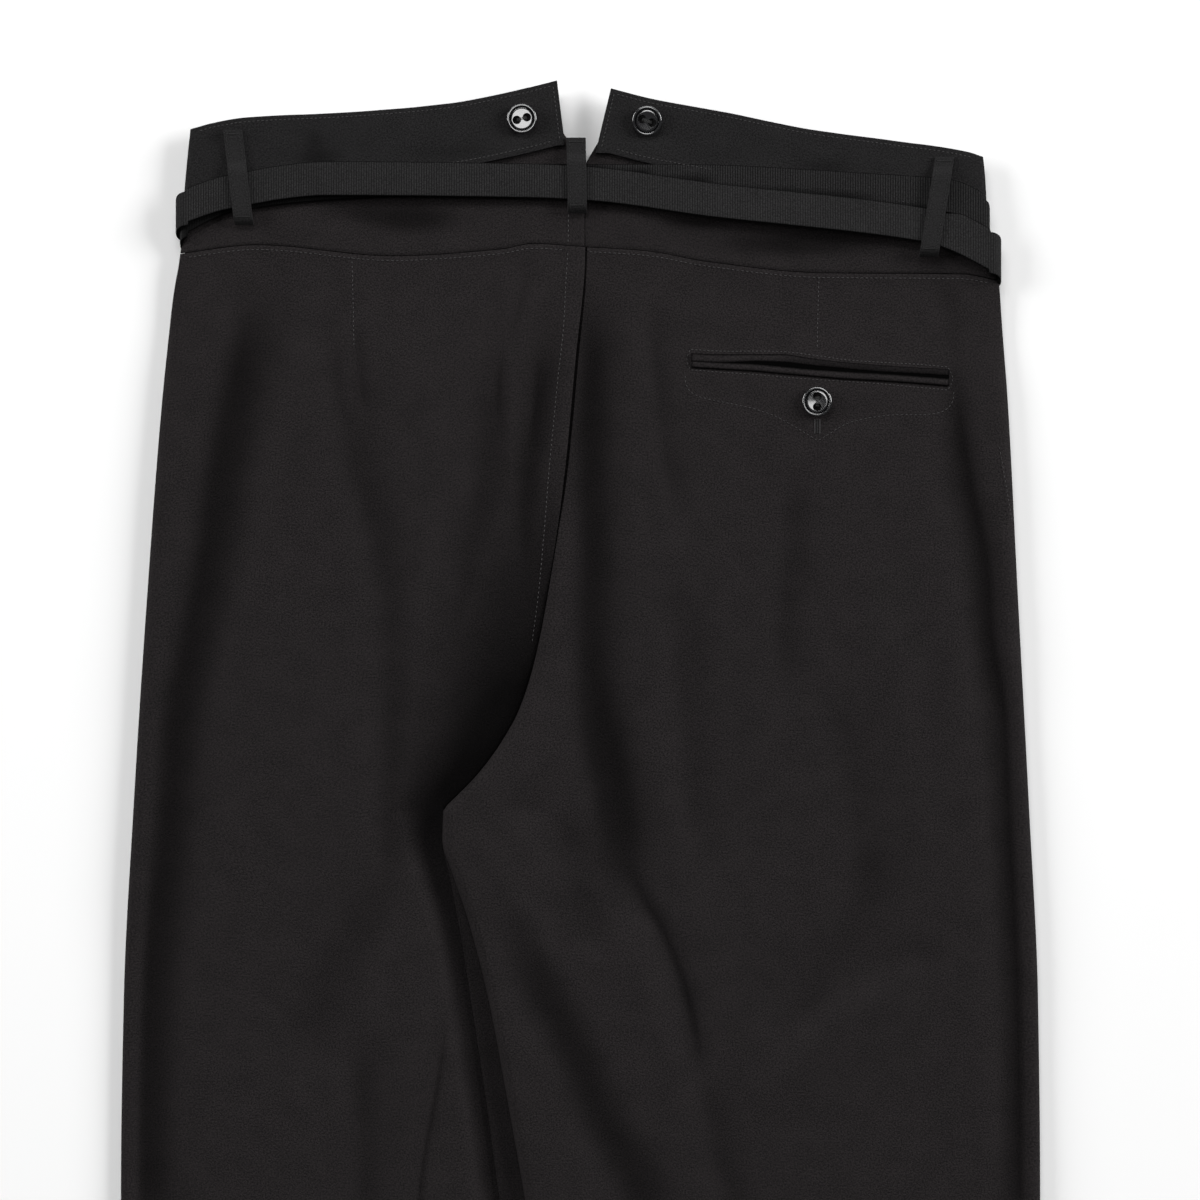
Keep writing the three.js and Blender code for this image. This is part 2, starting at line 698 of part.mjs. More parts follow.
// A back belt loop lies on the waistband, rises over both turns of ribbon and is sewn down on the yoke
function backBeltLoop(loop) {
  const middle = mix(loop.topX, loop.bottomX, 0.5);
  const outerTop = curveAt(RIBBON_OUTER_LINE, 'x', 'down', middle);
  const innerTop = curveAt(RIBBON_INNER_LINE, 'x', 'down', middle);
  const clear = 1.5;
  const rise = 3.5;
  const ribbonTop = Math.min(outerTop, innerTop) - clear;
  const ribbonBottom = Math.max(outerTop, innerTop) + RIBBON_WIDTH + clear;
  return loopStrip(loop.topX, loop.bottomX, [
    { down: loop.top, z: RIBBON_INNER_BACK_Z },
    { down: ribbonTop - rise, z: RIBBON_INNER_BACK_Z + GAP },
    { down: ribbonTop, z: BACK_LOOP_Z },
    { down: ribbonBottom, z: BACK_LOOP_Z },
    { down: Math.max(loop.bottom, ribbonBottom + rise), z: BACK_BAND_Z + 2 * GAP },
  ]);
}

function frontBeltLoop(loop) {
  const clear = 2;
  const rise = 5;
  const top = frontBandTop(loop.x) + clear;
  const sewn = FRONT_BAND_Z - GAP - LOOP;
  const end = loop.x < 0 ? 0 : RIBBON_OUTER_LINE.length - 1;
  const share = Math.abs(loop.x / sideRight(RIBBON_FRONT_DOWN));
  const turns = [RIBBON_OUTER_LINE, RIBBON_INNER_LINE].map((line) => ribbonFrontDown(line[end].down, share));
  const ribbonTop = Math.min(...turns) - clear;
  const ribbonBottom = Math.max(...turns) + RIBBON_WIDTH + clear;
  return loopStrip(loop.x, loop.x, [
    { down: top, z: sewn },
    { down: ribbonTop - rise, z: sewn },
    { down: ribbonTop, z: FRONT_LOOP_Z },
    { down: ribbonBottom, z: FRONT_LOOP_Z },
    { down: ribbonBottom + rise, z: sewn - GAP },
  ]);
}

// A round button with a dished face and two holes
function buttonGeometry(turn) {
  const outline = [
    [0, 0], [0.84, 0], [0.96, 0.25], [1, 0.55], [0.93, 0.9], [0.8, 1], [0.7, 0.86], [0.62, 0.6], [0, 0.56],
  ];
  const profile = outline.map(([r, z]) => new THREE.Vector2(r * BUTTON_RADIUS, z * BUTTON_HEIGHT));
  const segments = 24;
  const body = new THREE.LatheGeometry(profile, segments).rotateX(Math.PI / 2);
  let solid = toManifold(body);
  for (const side of [-1, 1]) {
    const holeSegments = 10;
    const hole = new THREE.CylinderGeometry(
      BUTTON_HOLE_RADIUS, BUTTON_HOLE_RADIUS, 3 * BUTTON_HEIGHT, holeSegments);
    hole.rotateX(Math.PI / 2).translate((side * BUTTON_HOLE_SPACING) / 2, 0, 0);
    hole.rotateZ(THREE.MathUtils.degToRad(turn));
    solid = solid.subtract(toManifold(hole));
  }
  return fromManifold(solid);
}

function toManifold(geometry) {
  const bare = geometry.clone();
  bare.deleteAttribute('normal');
  bare.deleteAttribute('uv');
  const merged = mergeVertices(bare, 1e-4);
  const vertProperties = new Float32Array(merged.attributes.position.array);
  const kept = [];
  const index = merged.index.array;
  for (let f = 0; f < index.length; f += 3) {
    const [a, b, c] = [index[f], index[f + 1], index[f + 2]];
    if (a !== b && b !== c && c !== a) kept.push(a, b, c);
  }
  return new manifold.Manifold(new manifold.Mesh({
    numProp: 3, vertProperties, triVerts: new Uint32Array(kept),
  }));
}

function fromManifold(solid) {
  const mesh = solid.getMesh();
  const geometry = new THREE.BufferGeometry();
  geometry.setAttribute('position', new THREE.Float32BufferAttribute(mesh.vertProperties, 3));
  geometry.setIndex(Array.from(mesh.triVerts));
  return geometry;
}

// A pocket welt, made from the right back's points moved out
function pocketWelt(offset) {
  const lower = [];
  const upper = [];
  for (const across of [0, WELT_HEIGHT]) {
    const lowerRow = [];
    const upperRow = [];
    for (let k = 0; k <= POCKET_STEPS; k += 1) {
      const share = k / POCKET_STEPS;
      const x = mix(POCKET_START.x, POCKET_END.x, share);
      const down = mix(POCKET_START.down, POCKET_END.down, share) + offset + across;
      const z = rightBackHeight(x, down) + CLOTH + WELT_CLEARANCE;
      lowerRow.push(garmentPoint(x, down, z));
      upperRow.push(garmentPoint(x, down, z + CLOTH));
    }
    lower.push(lowerRow);
    upper.push(upperRow);
  }
  return wall(lower, upper);
}

// The trousers
const trousers = new THREE.Group();

function add(name, geometry, colour, roughness) {
  const material = new THREE.MeshStandardMaterial({ color: colour, roughness, metalness: 0 });
  const mesh = new THREE.Mesh(geometry, material);
  mesh.name = name;
  trousers.add(mesh);
  return mesh;
}

const CLOTH_ROUGHNESS = 0.9;
const BUTTON_ROUGHNESS = 0.2;

for (const side of ['left', 'right']) {
  add(`front_leg_${side}`, frontLeg(side), CLOTH_COLOUR, CLOTH_ROUGHNESS);
  add(`waistband_front_${side}`, frontBand(side), BAND_COLOUR, CLOTH_ROUGHNESS);
  add(`back_leg_${side}`, backLeg(side), CLOTH_COLOUR, CLOTH_ROUGHNESS);
  add(`back_yoke_${side}`, yoke(side), CLOTH_COLOUR, CLOTH_ROUGHNESS);
  add(`waistband_back_${side}`, backBand(side), BAND_COLOUR, CLOTH_ROUGHNESS);
}
add('fly_flap', flyFlap(), CLOTH_COLOUR, CLOTH_ROUGHNESS);
add('ribbon_belt_inner_turn', ribbonTurn('inner'), RIBBON_COLOUR, CLOTH_ROUGHNESS);
add('ribbon_belt_outer_turn', ribbonTurn('outer'), RIBBON_COLOUR, CLOTH_ROUGHNESS);
for (const loop of BELT_LOOPS) add(loop.name, backBeltLoop(loop), BAND_COLOUR, CLOTH_ROUGHNESS);
for (const loop of FRONT_BELT_LOOPS) add(loop.name, frontBeltLoop(loop), BAND_COLOUR, CLOTH_ROUGHNESS);
add('pocket_welt_upper', pocketWelt(0), CLOTH_COLOUR, CLOTH_ROUGHNESS);
add('pocket_welt_lower', pocketWelt(WELT_HEIGHT + POCKET_SLIT), CLOTH_COLOUR, CLOTH_ROUGHNESS);

for (const button of BRACE_BUTTONS) {
  const mesh = add(button.name, buttonGeometry(button.turn), BUTTON_COLOUR, BUTTON_ROUGHNESS);
  mesh.position.copy(garmentPoint(button.x, button.down, BACK_BAND_Z + BAND + GAP));
}
const pocketButtonShape = buttonGeometry(POCKET_BUTTON.turn);
const pocketButton = add(POCKET_BUTTON.name, pocketButtonShape, BUTTON_COLOUR, BUTTON_ROUGHNESS);
const pocketSeat = rightBackHeight(POCKET_BUTTON.x, POCKET_BUTTON.down) + CLOTH + BUTTON_CLEARANCE;
pocketButton.position.copy(garmentPoint(POCKET_BUTTON.x, POCKET_BUTTON.down, pocketSeat));

export default trousers;
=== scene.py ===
"""Canvas trousers, laid flat with the back up, seen from straight above.

The garment's lines repeat those of the CAD part and are in millimetres. "down" is the distance below the
highest corner of the back waistband. Left and right are the wearer's, which are -X and +X here.
"""

import math

import bmesh
import bpy
import numpy as np
from mathutils import Matrix, Vector


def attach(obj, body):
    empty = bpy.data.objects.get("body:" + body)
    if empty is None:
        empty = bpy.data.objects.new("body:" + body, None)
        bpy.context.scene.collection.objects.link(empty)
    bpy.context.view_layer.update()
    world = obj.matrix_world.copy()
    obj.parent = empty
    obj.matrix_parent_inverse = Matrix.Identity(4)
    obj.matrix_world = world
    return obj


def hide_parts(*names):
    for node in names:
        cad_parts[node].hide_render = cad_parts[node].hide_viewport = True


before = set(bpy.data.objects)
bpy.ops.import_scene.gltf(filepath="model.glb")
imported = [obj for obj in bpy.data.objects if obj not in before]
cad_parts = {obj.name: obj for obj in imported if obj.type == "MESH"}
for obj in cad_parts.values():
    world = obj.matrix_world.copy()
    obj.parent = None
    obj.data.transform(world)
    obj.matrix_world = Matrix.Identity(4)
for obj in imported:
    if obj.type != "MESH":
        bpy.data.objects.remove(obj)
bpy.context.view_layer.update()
MM = 0.001

# Driving sizes of the garment
LENGTH = 1114.0
HIGHEST_Y = LENGTH / 2
BAND_HEIGHT = 34.0
FRONT_BAND_HEIGHT = 35.0
RIBBON_WIDTH = 17.5
LOOP_WIDTH = 10.0
HEM_HEIGHT = 30.0
CROTCH_DOWN = 379.0

# Thickness of the cloth and the gaps between pieces
CLOTH = 1.0
BAND = 2.0
RIBBON = 1.0
LOOP = 1.2
GAP = 0.3
HALF_GAP = GAP / 2

# Heights of the layers above the floor, each to its lower face
FRONT_LOOP_Z = 0.0
RIBBON_OUTER_FRONT_Z = FRONT_LOOP_Z + LOOP + GAP
RIBBON_INNER_FRONT_Z = RIBBON_OUTER_FRONT_Z + RIBBON + GAP
FRONT_BAND_Z = RIBBON_INNER_FRONT_Z + RIBBON + GAP
YOKE_Z = FRONT_BAND_Z + BAND + GAP
BACK_BAND_Z = YOKE_Z + CLOTH + GAP
RIBBON_INNER_BACK_Z = BACK_BAND_Z + BAND + GAP
RIBBON_OUTER_BACK_Z = RIBBON_INNER_BACK_Z + RIBBON + GAP
BACK_LOOP_Z = RIBBON_OUTER_BACK_Z + RIBBON + GAP
LEG_BACK_Z = 3.6
PRESSED_Z = 1.4
FLY_LIFT = CLOTH + GAP
CROSSED_LEG_LIFT = 3.4

# How far beside the left leg's inner edge the right leg stays lifted, and over how much it comes down
CROSSED_LEG_REACH = 22
CROSSED_LEG_SLOPE = 32

# How far cloth stands up where it is full, doubled by a seam, turned under or puckered, and how far beside a
# seam the puckers reach
FULLNESS = 4.0
FELLED_SEAM_RISE = 0.7
TURNED_EDGE_RISE = 0.35
PUCKER_RISE = 0.22
PUCKER_REACH = 7

# A fold fades out toward each end over this length, or over this share of a short one
FOLD_FADE = 72
FOLD_FADE_SHARE = 0.28

# Depths where a change starts, and how far down it takes to be complete
CHANGES = {
    "waist_to_floor": (92, 55),
    "yoke_to_leg": (84, 62),
    "fly_end": (300, 30),
    "legs_start_to_cross": (305, 65),
    "legs_stop_crossing": (900, 100),
    "seam_rolls": (210, 90),
    "front_reaches_side": (100, 50),
    "dips_under_right_leg": (215, 110),
    "felled_seam_ends": (250, 60),
    "fullness_lessens": (700, 300),
}

# Fly flap, with the clear width that the fronts keep over it
FLY_TOP = 88.0
FLY_BOTTOM = 285.0
FLY_HALF_WIDTH = 19.0
FLY_CLEAR_HALF_WIDTH = 24.0
FLY_SLOPE = 20.0

# Slanting ends of the back waistband at the notch, and the small V of the yoke between them
NOTCH_LEFT = (-12.2, -8.0)
NOTCH_RIGHT = (15.8, 7.8)
NOTCH_X = 2.3
NOTCH_DOWN = 43.7

# Radii of the rolled edges, and how far the upper front stays inside the back's edge
SIDE_ROLL = 7.0
SEAM_ROLL = 5.0
YOKE_ROLL = 4.0
BAND_ROLL = 3.5
FRONT_INSET = 2.5

# Spacing of the rows of points down the legs: close together as far as the main folds reach, then wider
FINE_ROWS_END = 620
BACK_ROWS = (2.7, 7)
FRONT_ROWS = (7, 12)

# The least width and length of a cut in metres, and the least share of that rectangle for its area
LEAST_CUT = 0.01
LEAST_CUT_SHARE = 0.302

# Outer edges of the trousers: depth, left, right
SIDE_EDGES = [
    (26, -203, 206),
    (40, -204.5, 209.5),
    (57, -206, 211),
    (82, -207.3, 212),
    (98, -209.6, 214.5),
    (106, -211, 218),
    (120, -213, 219),
    (166, -218, 222.6),
    (270, -226, 228),
    (374, -232.7, 233.5),
    (478, -238, 238.4),
    (582, -239.5, 239.5),
    (738, -237, 236.5),
    (925, -231, 231),
    (1114, -225, 226),
]

# The seat seam, from the waist down to the crotch
CENTRE_SEAM = [
    (40, 2.3),
    (87, 2.3),
    (147, -2.9),
    (201, -8),
    (271, -17.9),
    (304, -24.7),
    (328, -32.5),
    (345, -41.9),
    (361, -53.8),
    (CROTCH_DOWN, -71.5),
]

# Inner edges below the crotch, where the right leg lies over the left one: depth, then left leg, right back
# and right front
INNER_EDGES = [
    (CROTCH_DOWN, -71.5, -71.5, -71.5),
    (395, -56, -72, -72),
    (410, -36, -67.5, -69),
    (435, -11, -59, -64),
    (475, 11, -48.6, -57.5),
    (531, 26, -38, -49),
    (582, 34, -29, -42),
    (738, 9, -5, -12),
    (925, -2, 8, 4),
    (1114, -9, 10, 10),
]
LEFT_LEG = 1
RIGHT_BACK = 2
RIGHT_FRONT = 3

# Top edge of the back waistband, which rises to two points beside the notch
BAND_TOP_LEFT = [
    (-206, 27),
    (-192, 22.4),
    (-172, 19.2),
    (-120, 16.6),
    (-68, 12),
    (-26, 3.6),
    (-12, 0),
]
BAND_TOP_RIGHT = [
    (15, 4),
    (36, 9.4),
    (78, 17.2),
    (119, 25.5),
    (161, 31.2),
    (202, 37.4),
    (212, 42),
]

# Top edge of the front waistband: x and depth at each side, and the depth in the middle
FRONT_BAND_LEFT = (-204.0, 29.0)
FRONT_BAND_RIGHT = (208.0, 42.0)
FRONT_BAND_MIDDLE = 49.0

# Seam between the yoke and the legs, and the depth where the seat seam meets it
SEAM_MEETS_YOKE = 87
YOKE_SEAM = [
    (-209, 90),
    (-168, 85.3),
    (-98, 91),
    (-41, 87.4),
    (-25, 84.6),
    (2.3, 86.3),
    (34, 88.4),
    (67, 94.1),
    (125, 99.8),
    (198, 100.4),
    (218, 104),
]

# Top edge of each turn of the ribbon belt across the back, and of both at the middle of the front
RIBBON_OUTER_LINE = [
    (-209, 58.2),
    (-184, 49.9),
    (-131, 42.6),
    (-28, 43.7),
    (4, 45.2),
    (67, 53.6),
    (178, 66.6),
    (190, 70.2),
    (216, 83.2),
]
RIBBON_INNER_LINE = [
    (-209, 64.2),
    (-181, 51.2),
    (-131, 44.8),
    (-83, 42.9),
    (4, 43.7),
    (51, 43.7),
    (150, 48.4),
    (192, 51.6),
    (216, 61.9),
]
RIBBON_FRONT_DOWN = 66.0

# Folds of the left back: points along each, its width to the left and to the right, and its rise
LEFT_FOLDS = [
    ([(-163, 88), (-171, 124), (-181, 166), (-189, 207), (-195, 249), (-203, 291), (-211, 332), (-214, 374),
      (-218, 415), (-224, 460), (-227, 520), (-228, 640)], 9, 19, -5.2),
    ([(-132, 112), (-150, 200), (-172, 290), (-188, 380), (-196, 480), (-200, 600)], 16, 22, 1.2),
    ([(-131, 100), (-129, 140), (-122, 166), (-117, 200), (-106, 235), (-99, 270), (-98, 330), (-99, 400),
      (-101, 460)], 9, 15, -2.8),
    ([(-117.5, 122), (-114.5, 148), (-110, 178)], 2.8, 3.4, -1.3),
    ([(-122.5, 116), (-122.5, 150), (-117, 185)], 3, 3, 1.0),
    ([(-80, 110), (-78, 180), (-83, 260), (-90, 330)], 10, 10, 1.4),
    ([(-46, 120), (-47, 166), (-48, 207), (-57, 249), (-62, 291), (-61, 332), (-68, 380)], 11, 14, -3.0),
    ([(-15, 100), (-17, 130), (-20, 166), (-26, 207), (-28, 249), (-30, 291), (-38, 332), (-62, 374)],
     9, 9, -4.0),
    ([(-30.5, 84), (-31, 115), (-36, 130), (-41, 152), (-42, 190)], 3, 4, -1.5),
    ([(-24, 138), (-23, 160), (-26, 195)], 2.6, 3, -0.9),
    ([(-38, 92), (-38.5, 130), (-36, 175), (-36, 230)], 3, 3, 1.0),
    ([(-94, 400), (-86, 450), (-84, 500), (-90, 545), (-95, 640)], 14, 6, 1.4),
    ([(-150, 524), (-130, 474), (-116, 442), (-102, 405)], 14, 18, -2.2),
    ([(-117, 480), (-112, 540), (-112, 640)], 8, 13, -2.6),
    ([(-66, 462), (-69, 482), (-75, 524), (-82, 562), (-86, 600), (-90, 680)], 2.4, 3.4, -2.2),
    ([(-190, 690), (-120, 770), (-60, 830)], 22, 26, -2.6),
    ([(-205, 640), (-150, 700), (-90, 745)], 20, 20, 1.6),
]

# Folds of the right back, in the same way
RIGHT_FOLDS = [
    ([(9, 86), (6, 140), (4.5, 207), (6, 249), (5, 291), (8, 332), (17, 374), (23, 415), (27, 445)],
     10, 14, -5.0),
    ([(-4, 300), (8, 340), (14, 374), (18, 410), (20, 440)], 14, 22, -1.6),
    ([(31, 100), (26, 170), (27, 240), (26, 300)], 6, 7, 1.4),
    ([(33, 100), (37, 124), (41, 160), (47, 207), (53, 245)], 5, 9, -2.0),
    ([(42, 240), (52, 290), (57, 345), (58, 374), (57, 415), (56, 440)], 8, 16, -2.0),
    ([(22, 400), (33, 425), (42, 440), (51, 461), (57, 481), (60, 497), (61, 530)], 7, 4, -3.4),
    ([(24, 318), (36, 345), (46, 378), (56, 420), (66, 465), (74, 525)], 8, 12, 1.2),
    ([(-14, 375), (-6, 400), (2, 425), (6, 460)], 12, 13, -2.4),
    ([(-50, 418), (-39, 438), (-29, 457), (-17, 482), (-5, 505), (9, 540), (26, 571), (52, 640)],
     12, 16, -4.2),
    ([(-62, 394), (-44, 412), (-22, 444), (0, 480), (22, 524), (36, 576)], 6, 7, 1.2),
    ([(187, 84), (192, 124), (196, 166), (202.5, 207)], 9, 5, -1.6),
    ([(194, 140), (202.5, 207), (211, 249), (214, 291), (221, 332), (223, 374), (225, 415), (228, 470),
      (229, 540), (229, 640)], 13, 5, -4.6),
    ([(170, 190), (186, 260), (198, 330), (206, 410), (210, 500), (208, 600)], 18, 9, 1.2),
    ([(84, 540), (120, 505), (157, 474), (190, 452)], 14, 10, 1.8),
    ([(94, 508), (122, 470), (146, 436), (160, 392)], 14, 16, -1.8),
    ([(112, 192), (110, 244), (106, 290), (110, 335)], 8, 12, -2.4),
    ([(126, 306), (140, 350), (146, 388), (149, 440)], 10, 18, -1.8),
    ([(150, 240), (158, 300), (170, 350), (180, 420)], 14, 12, 1.2),
    ([(64, 500), (68, 540), (78, 580), (96, 640)], 9, 14, -2.4),
    ([(140, 470), (165, 460), (188, 450)], 12, 14, -1.4),
    ([(190, 690), (120, 770), (50, 830)], 22, 26, -2.6),
    ([(205, 640), (150, 700), (90, 745)], 20, 20, 1.6),
]

# Where the left leg dips under the right one: depth, how wide the dip is, and how dark and how wide its
# painted shadow is
CROSSING = [
    (190, 40, 0.0, 40),
    (249, 40, 0.56, 64),
    (291, 40, 0.8, 74),
    (332, 36, 1.1, 66),
    (360, 32, 1.1, 54),
    (379, 28.5, 0.95, 36),
    (415, 20, 0.7, 18),
    (457, 15, 0.55, 10),
    (540, 14, 0.5, 8),
    (640, 14, 0.45, 8),
    (900, 14, 0.3, 7),
]

# Pocket: x, then the depths of the upper stitches, the top of the upper welt, the top and bottom of the slit,
# the bottom of the lower welt, and the lower stitches
POCKET_LINES = [
    (57, 139.7, 142.3, 145.7, 146.3, 148.6, 150.3),
    (73, 140.6, 142.8, 146.4, 147.2, 149.6, 151.6),
    (90, 140.6, 142.8, 145.7, 147.9, 150.6, 152.7),
    (104, 140.8, 142.8, 146.0, 149.2, 151.9, 154.0),
    (121, 142.7, 145.2, 147.7, 150.8, 153.3, 155.3),
    (138, 145.1, 147.2, 149.3, 151.9, 154.8, 156.4),
    (156, 146.4, 148.6, 150.9, 152.9, 155.7, 157.6),
    (173, 147.3, 149.7, 151.8, 154.1, 156.8, 159.2),
    (191, 148.7, 150.6, 152.8, 155.4, 158.2, 160.7),
]

# How far the welts stand off the leg, and the x of their two ends
WELT_CLEARANCE = 0.5
WELT_LEFT = 57.5
WELT_RIGHT = 191.5

# Buttons: the middle, then in degrees the direction of the two holes and the lean about X and about Y
BRACE_BUTTONS = [
    ("brace_button_left", -30.4, 20.3, 15, (0.0, 0.0)),
    ("brace_button_right", 34.6, 21.3, -20, (6.5, -2.5)),
]
POCKET_BUTTON = ("pocket_button", 123.0, 167.0, 90, (-0.3, -7.0))

# Belt loops: the middle of each end on the back, and the middle on the front
BELT_LOOPS = [
    ("belt_loop_left", -180.5, 26.0, -174.5, 74.5),
    ("belt_loop_centre", -2.3, 30.0, -1.6, 68.5),
    ("belt_loop_right", 189.0, 40.0, 180.6, 91.0),
]
FRONT_BELT_LOOPS = [
    ("belt_loop_front_left", -106.0),
    ("belt_loop_front_right", 110.0),
]


# Small shared tools
def ease(t):
    s = np.clip(t, 0, 1)
    return s * s * (3 - 2 * s)


def mix(a, b, t):
    return a + (b - a) * t


def soft_max(a, b):
    """A maximum with a soft corner, never below either value."""
    return (a + b + np.hypot(a - b, 0.4)) / 2


def curve_at(rows, at, column=1):
    """A smooth curve through a table's rows, with no overshoot."""
    keys = np.array([row[0] for row in rows], float)
    values = np.array([row[column] for row in rows], float)
    slopes = np.diff(values) / np.diff(keys)
    before, after = slopes[:-1], slopes[1:]
    both = before + after
    tangents = np.empty_like(values)
    tangents[0], tangents[-1] = slopes[0], slopes[-1]
    tangents[1:-1] = np.where(before * after > 0, 2 * before * after / np.where(both == 0, 1, both), 0)
    at = np.clip(np.asarray(at, float), keys[0], keys[-1])
    i = np.clip(np.searchsorted(keys, at, side="right") - 1, 0, len(keys) - 2)
    step = keys[i + 1] - keys[i]
    t = (at - keys[i]) / step
    bend = tangents[i] * step * t * (1 - t) ** 2 - tangents[i + 1] * step * t * t * (1 - t)
    return mix(values[i], values[i + 1], t * t * (3 - 2 * t)) + bend


def place(x, down, z):
    return Vector((float(x) * MM, (HIGHEST_Y - float(down)) * MM, float(z) * MM))


# Lines of the garment
def side_left(down):
    return curve_at(SIDE_EDGES, down, 1)


def side_right(down):
    return curve_at(SIDE_EDGES, down, 2)


def centre_seam(down):
    return curve_at(CENTRE_SEAM, down)


def inner_edge(column, down):
    return curve_at(INNER_EDGES, down, column)


def seam_or_inner_edge(column, down):
    """The seat seam, and below the crotch the inner edge of one leg."""
    return np.where(down < CROTCH_DOWN, centre_seam(down), inner_edge(column, down))


def yoke_seam(x):
    return curve_at(YOKE_SEAM, x)


def band_top(x):
    return np.where(np.asarray(x) < 0, curve_at(BAND_TOP_LEFT, x), curve_at(BAND_TOP_RIGHT, x))


def front_band_top(x):
    """Top edge of the front waistband, lower in the middle than the back, so the notch stays open."""
    x = np.asarray(x, float)
    side_x = np.where(x < 0, FRONT_BAND_LEFT[0], FRONT_BAND_RIGHT[0])
    side_down = np.where(x < 0, FRONT_BAND_LEFT[1], FRONT_BAND_RIGHT[1])
    return mix(FRONT_BAND_MIDDLE, side_down, ease(np.abs(x / side_x)))


def changed(name, down):
    start, over = CHANGES[name]
    return ease((down - start) / over)


def waist_lift(down):
    return FRONT_BAND_Z * (1 - changed("waist_to_floor", down))


def front_height(x, down):
    """Lower face of the front panels, with room under them for the fly flap."""
    across = 1 - ease((np.abs(x - centre_seam(down)) - FLY_CLEAR_HALF_WIDTH) / FLY_SLOPE)
    along = 1 - changed("fly_end", down)
    lift = waist_lift(down)
    return lift + FLY_LIFT * across * along * (1 - lift / FRONT_BAND_Z)


def crossed_leg_lift(x, down):
    """Height that the right leg gains where it lies over the left one."""
    beside = x - seam_or_inner_edge(LEFT_LEG, down)
    across = 1 - ease((beside - CROSSED_LEG_REACH) / CROSSED_LEG_SLOPE)
    along = changed("legs_start_to_cross", down) * (1 - changed("legs_stop_crossing", down))
    return CROSSED_LEG_LIFT * across * along


def right_front_height(x, down):
    return front_height(x, down) + crossed_leg_lift(x, down)


def back_base(down):
    return mix(YOKE_Z, LEG_BACK_Z, changed("yoke_to_leg", down))


# Folds
def smooth_path(points, steps=28):
    """Evenly spaced points on a smooth line through a few given ones."""
    points = np.array(points, float)
    knots = np.concatenate([[0], np.cumsum(np.hypot(*np.diff(points, axis=0).T))])
    fine = np.linspace(0, knots[-1], steps)
    if len(points) == 2:
        return np.stack([np.interp(fine, knots, points[:, k]) for k in range(2)], axis=1)
    tangents = np.gradient(points, knots, axis=0)
    i = np.clip(np.searchsorted(knots, fine, side="right") - 1, 0, len(knots) - 2)
    step = (knots[i + 1] - knots[i])[:, None]
    t = ((fine - knots[i]) / (knots[i + 1] - knots[i]))[:, None]
    start = points[i] * (1 + 2 * t) * (1 - t) ** 2 + tangents[i] * step * t * (1 - t) ** 2
    return start + points[i + 1] * t * t * (3 - 2 * t) - tangents[i + 1] * step * t * t * (1 - t)


def beside_path(path, x, down):
    """For each point, how far along a path it is nearest, as a share, and its distance to the right."""
    lengths = np.hypot(*np.diff(path, axis=0).T)
    starts = np.concatenate([[0], np.cumsum(lengths)])
    nearest = np.full(np.broadcast(x, down).shape, np.inf)
    share = np.zeros_like(nearest)
    side = np.ones_like(nearest)
    for k in range(len(path) - 1):
        start, step = path[k], path[k + 1] - path[k]
        t = np.clip(((x - start[0]) * step[0] + (down - start[1]) * step[1]) / (step @ step), 0, 1)
        off_x = x - start[0] - t * step[0]
        off_down = down - start[1] - t * step[1]
        distance = np.hypot(off_x, off_down)
        closer = distance < nearest
        nearest = np.where(closer, distance, nearest)
        share = np.where(closer, (starts[k] + t * lengths[k]) / starts[-1], share)
        side = np.where(closer, np.where(off_x * step[1] - off_down * step[0] >= 0, 1.0, -1.0), side)
    return share, nearest * side


def fold_height(folds, x, down):
    """Sum of soft troughs and ridges, each along its own line."""
    height = np.zeros(np.broadcast(x, down).shape)
    for points, left_width, right_width, rise in folds:
        path = smooth_path(points, 14 * len(points))
        length = np.hypot(*np.diff(path, axis=0).T).sum()
        fade = min(FOLD_FADE_SHARE, FOLD_FADE / length)
        share, off = beside_path(path, x, down)
        strength = ease(share / fade) * ease((1 - share) / fade)
        width = np.where(off < 0, left_width, right_width)
        height += rise * strength * np.exp(-((off / width) ** 2))
    return height


def fullness(x, down):
    """Height that the slack cloth of the back stands up from the front, below the yoke."""
    below_yoke = ease((down - yoke_seam(x) - 3) / 60)
    towards_hem = 1 - 0.5 * changed("fullness_lessens", down)
    return FULLNESS * below_yoke * towards_hem


def unevenness(x, down):
    """The slight waviness of cloth that has been worn and washed."""
    wave = np.sin(x / 17 + down / 41 + 0.6) * np.sin(down / 23 - x / 37 + 1.1)
    slow = np.sin(x / 43 - down / 67) * np.cos(down / 51 + x / 29)
    return 0.16 * wave + 0.28 * slow


def seam_puckers(x, beside):
    """Short puckers that a tight seam draws into the cloth beside it."""
    pull = 0.6 * np.sin(x / 2.3 + 1.7 * np.sin(x / 19)) + 0.4 * np.sin(x / 3.7 + 2)
    return PUCKER_RISE * pull * np.exp(-((beside / PUCKER_REACH) ** 2))


def felled_seam(x, down):
    """The double cloth of the seat seam, folded to the left and stitched down."""
    from_seam = centre_seam(down) - x
    across = ease(from_seam / 1.5) * (1 - ease((from_seam - 7.6) / 2.4))
    return FELLED_SEAM_RISE * across * (1 - changed("felled_seam_ends", down))


def turned_edge(x, down):
    """The edge of the leg that is turned under along the yoke."""
    return TURNED_EDGE_RISE * (1 - ease((down - yoke_seam(x) - 1.6) / 2.0))


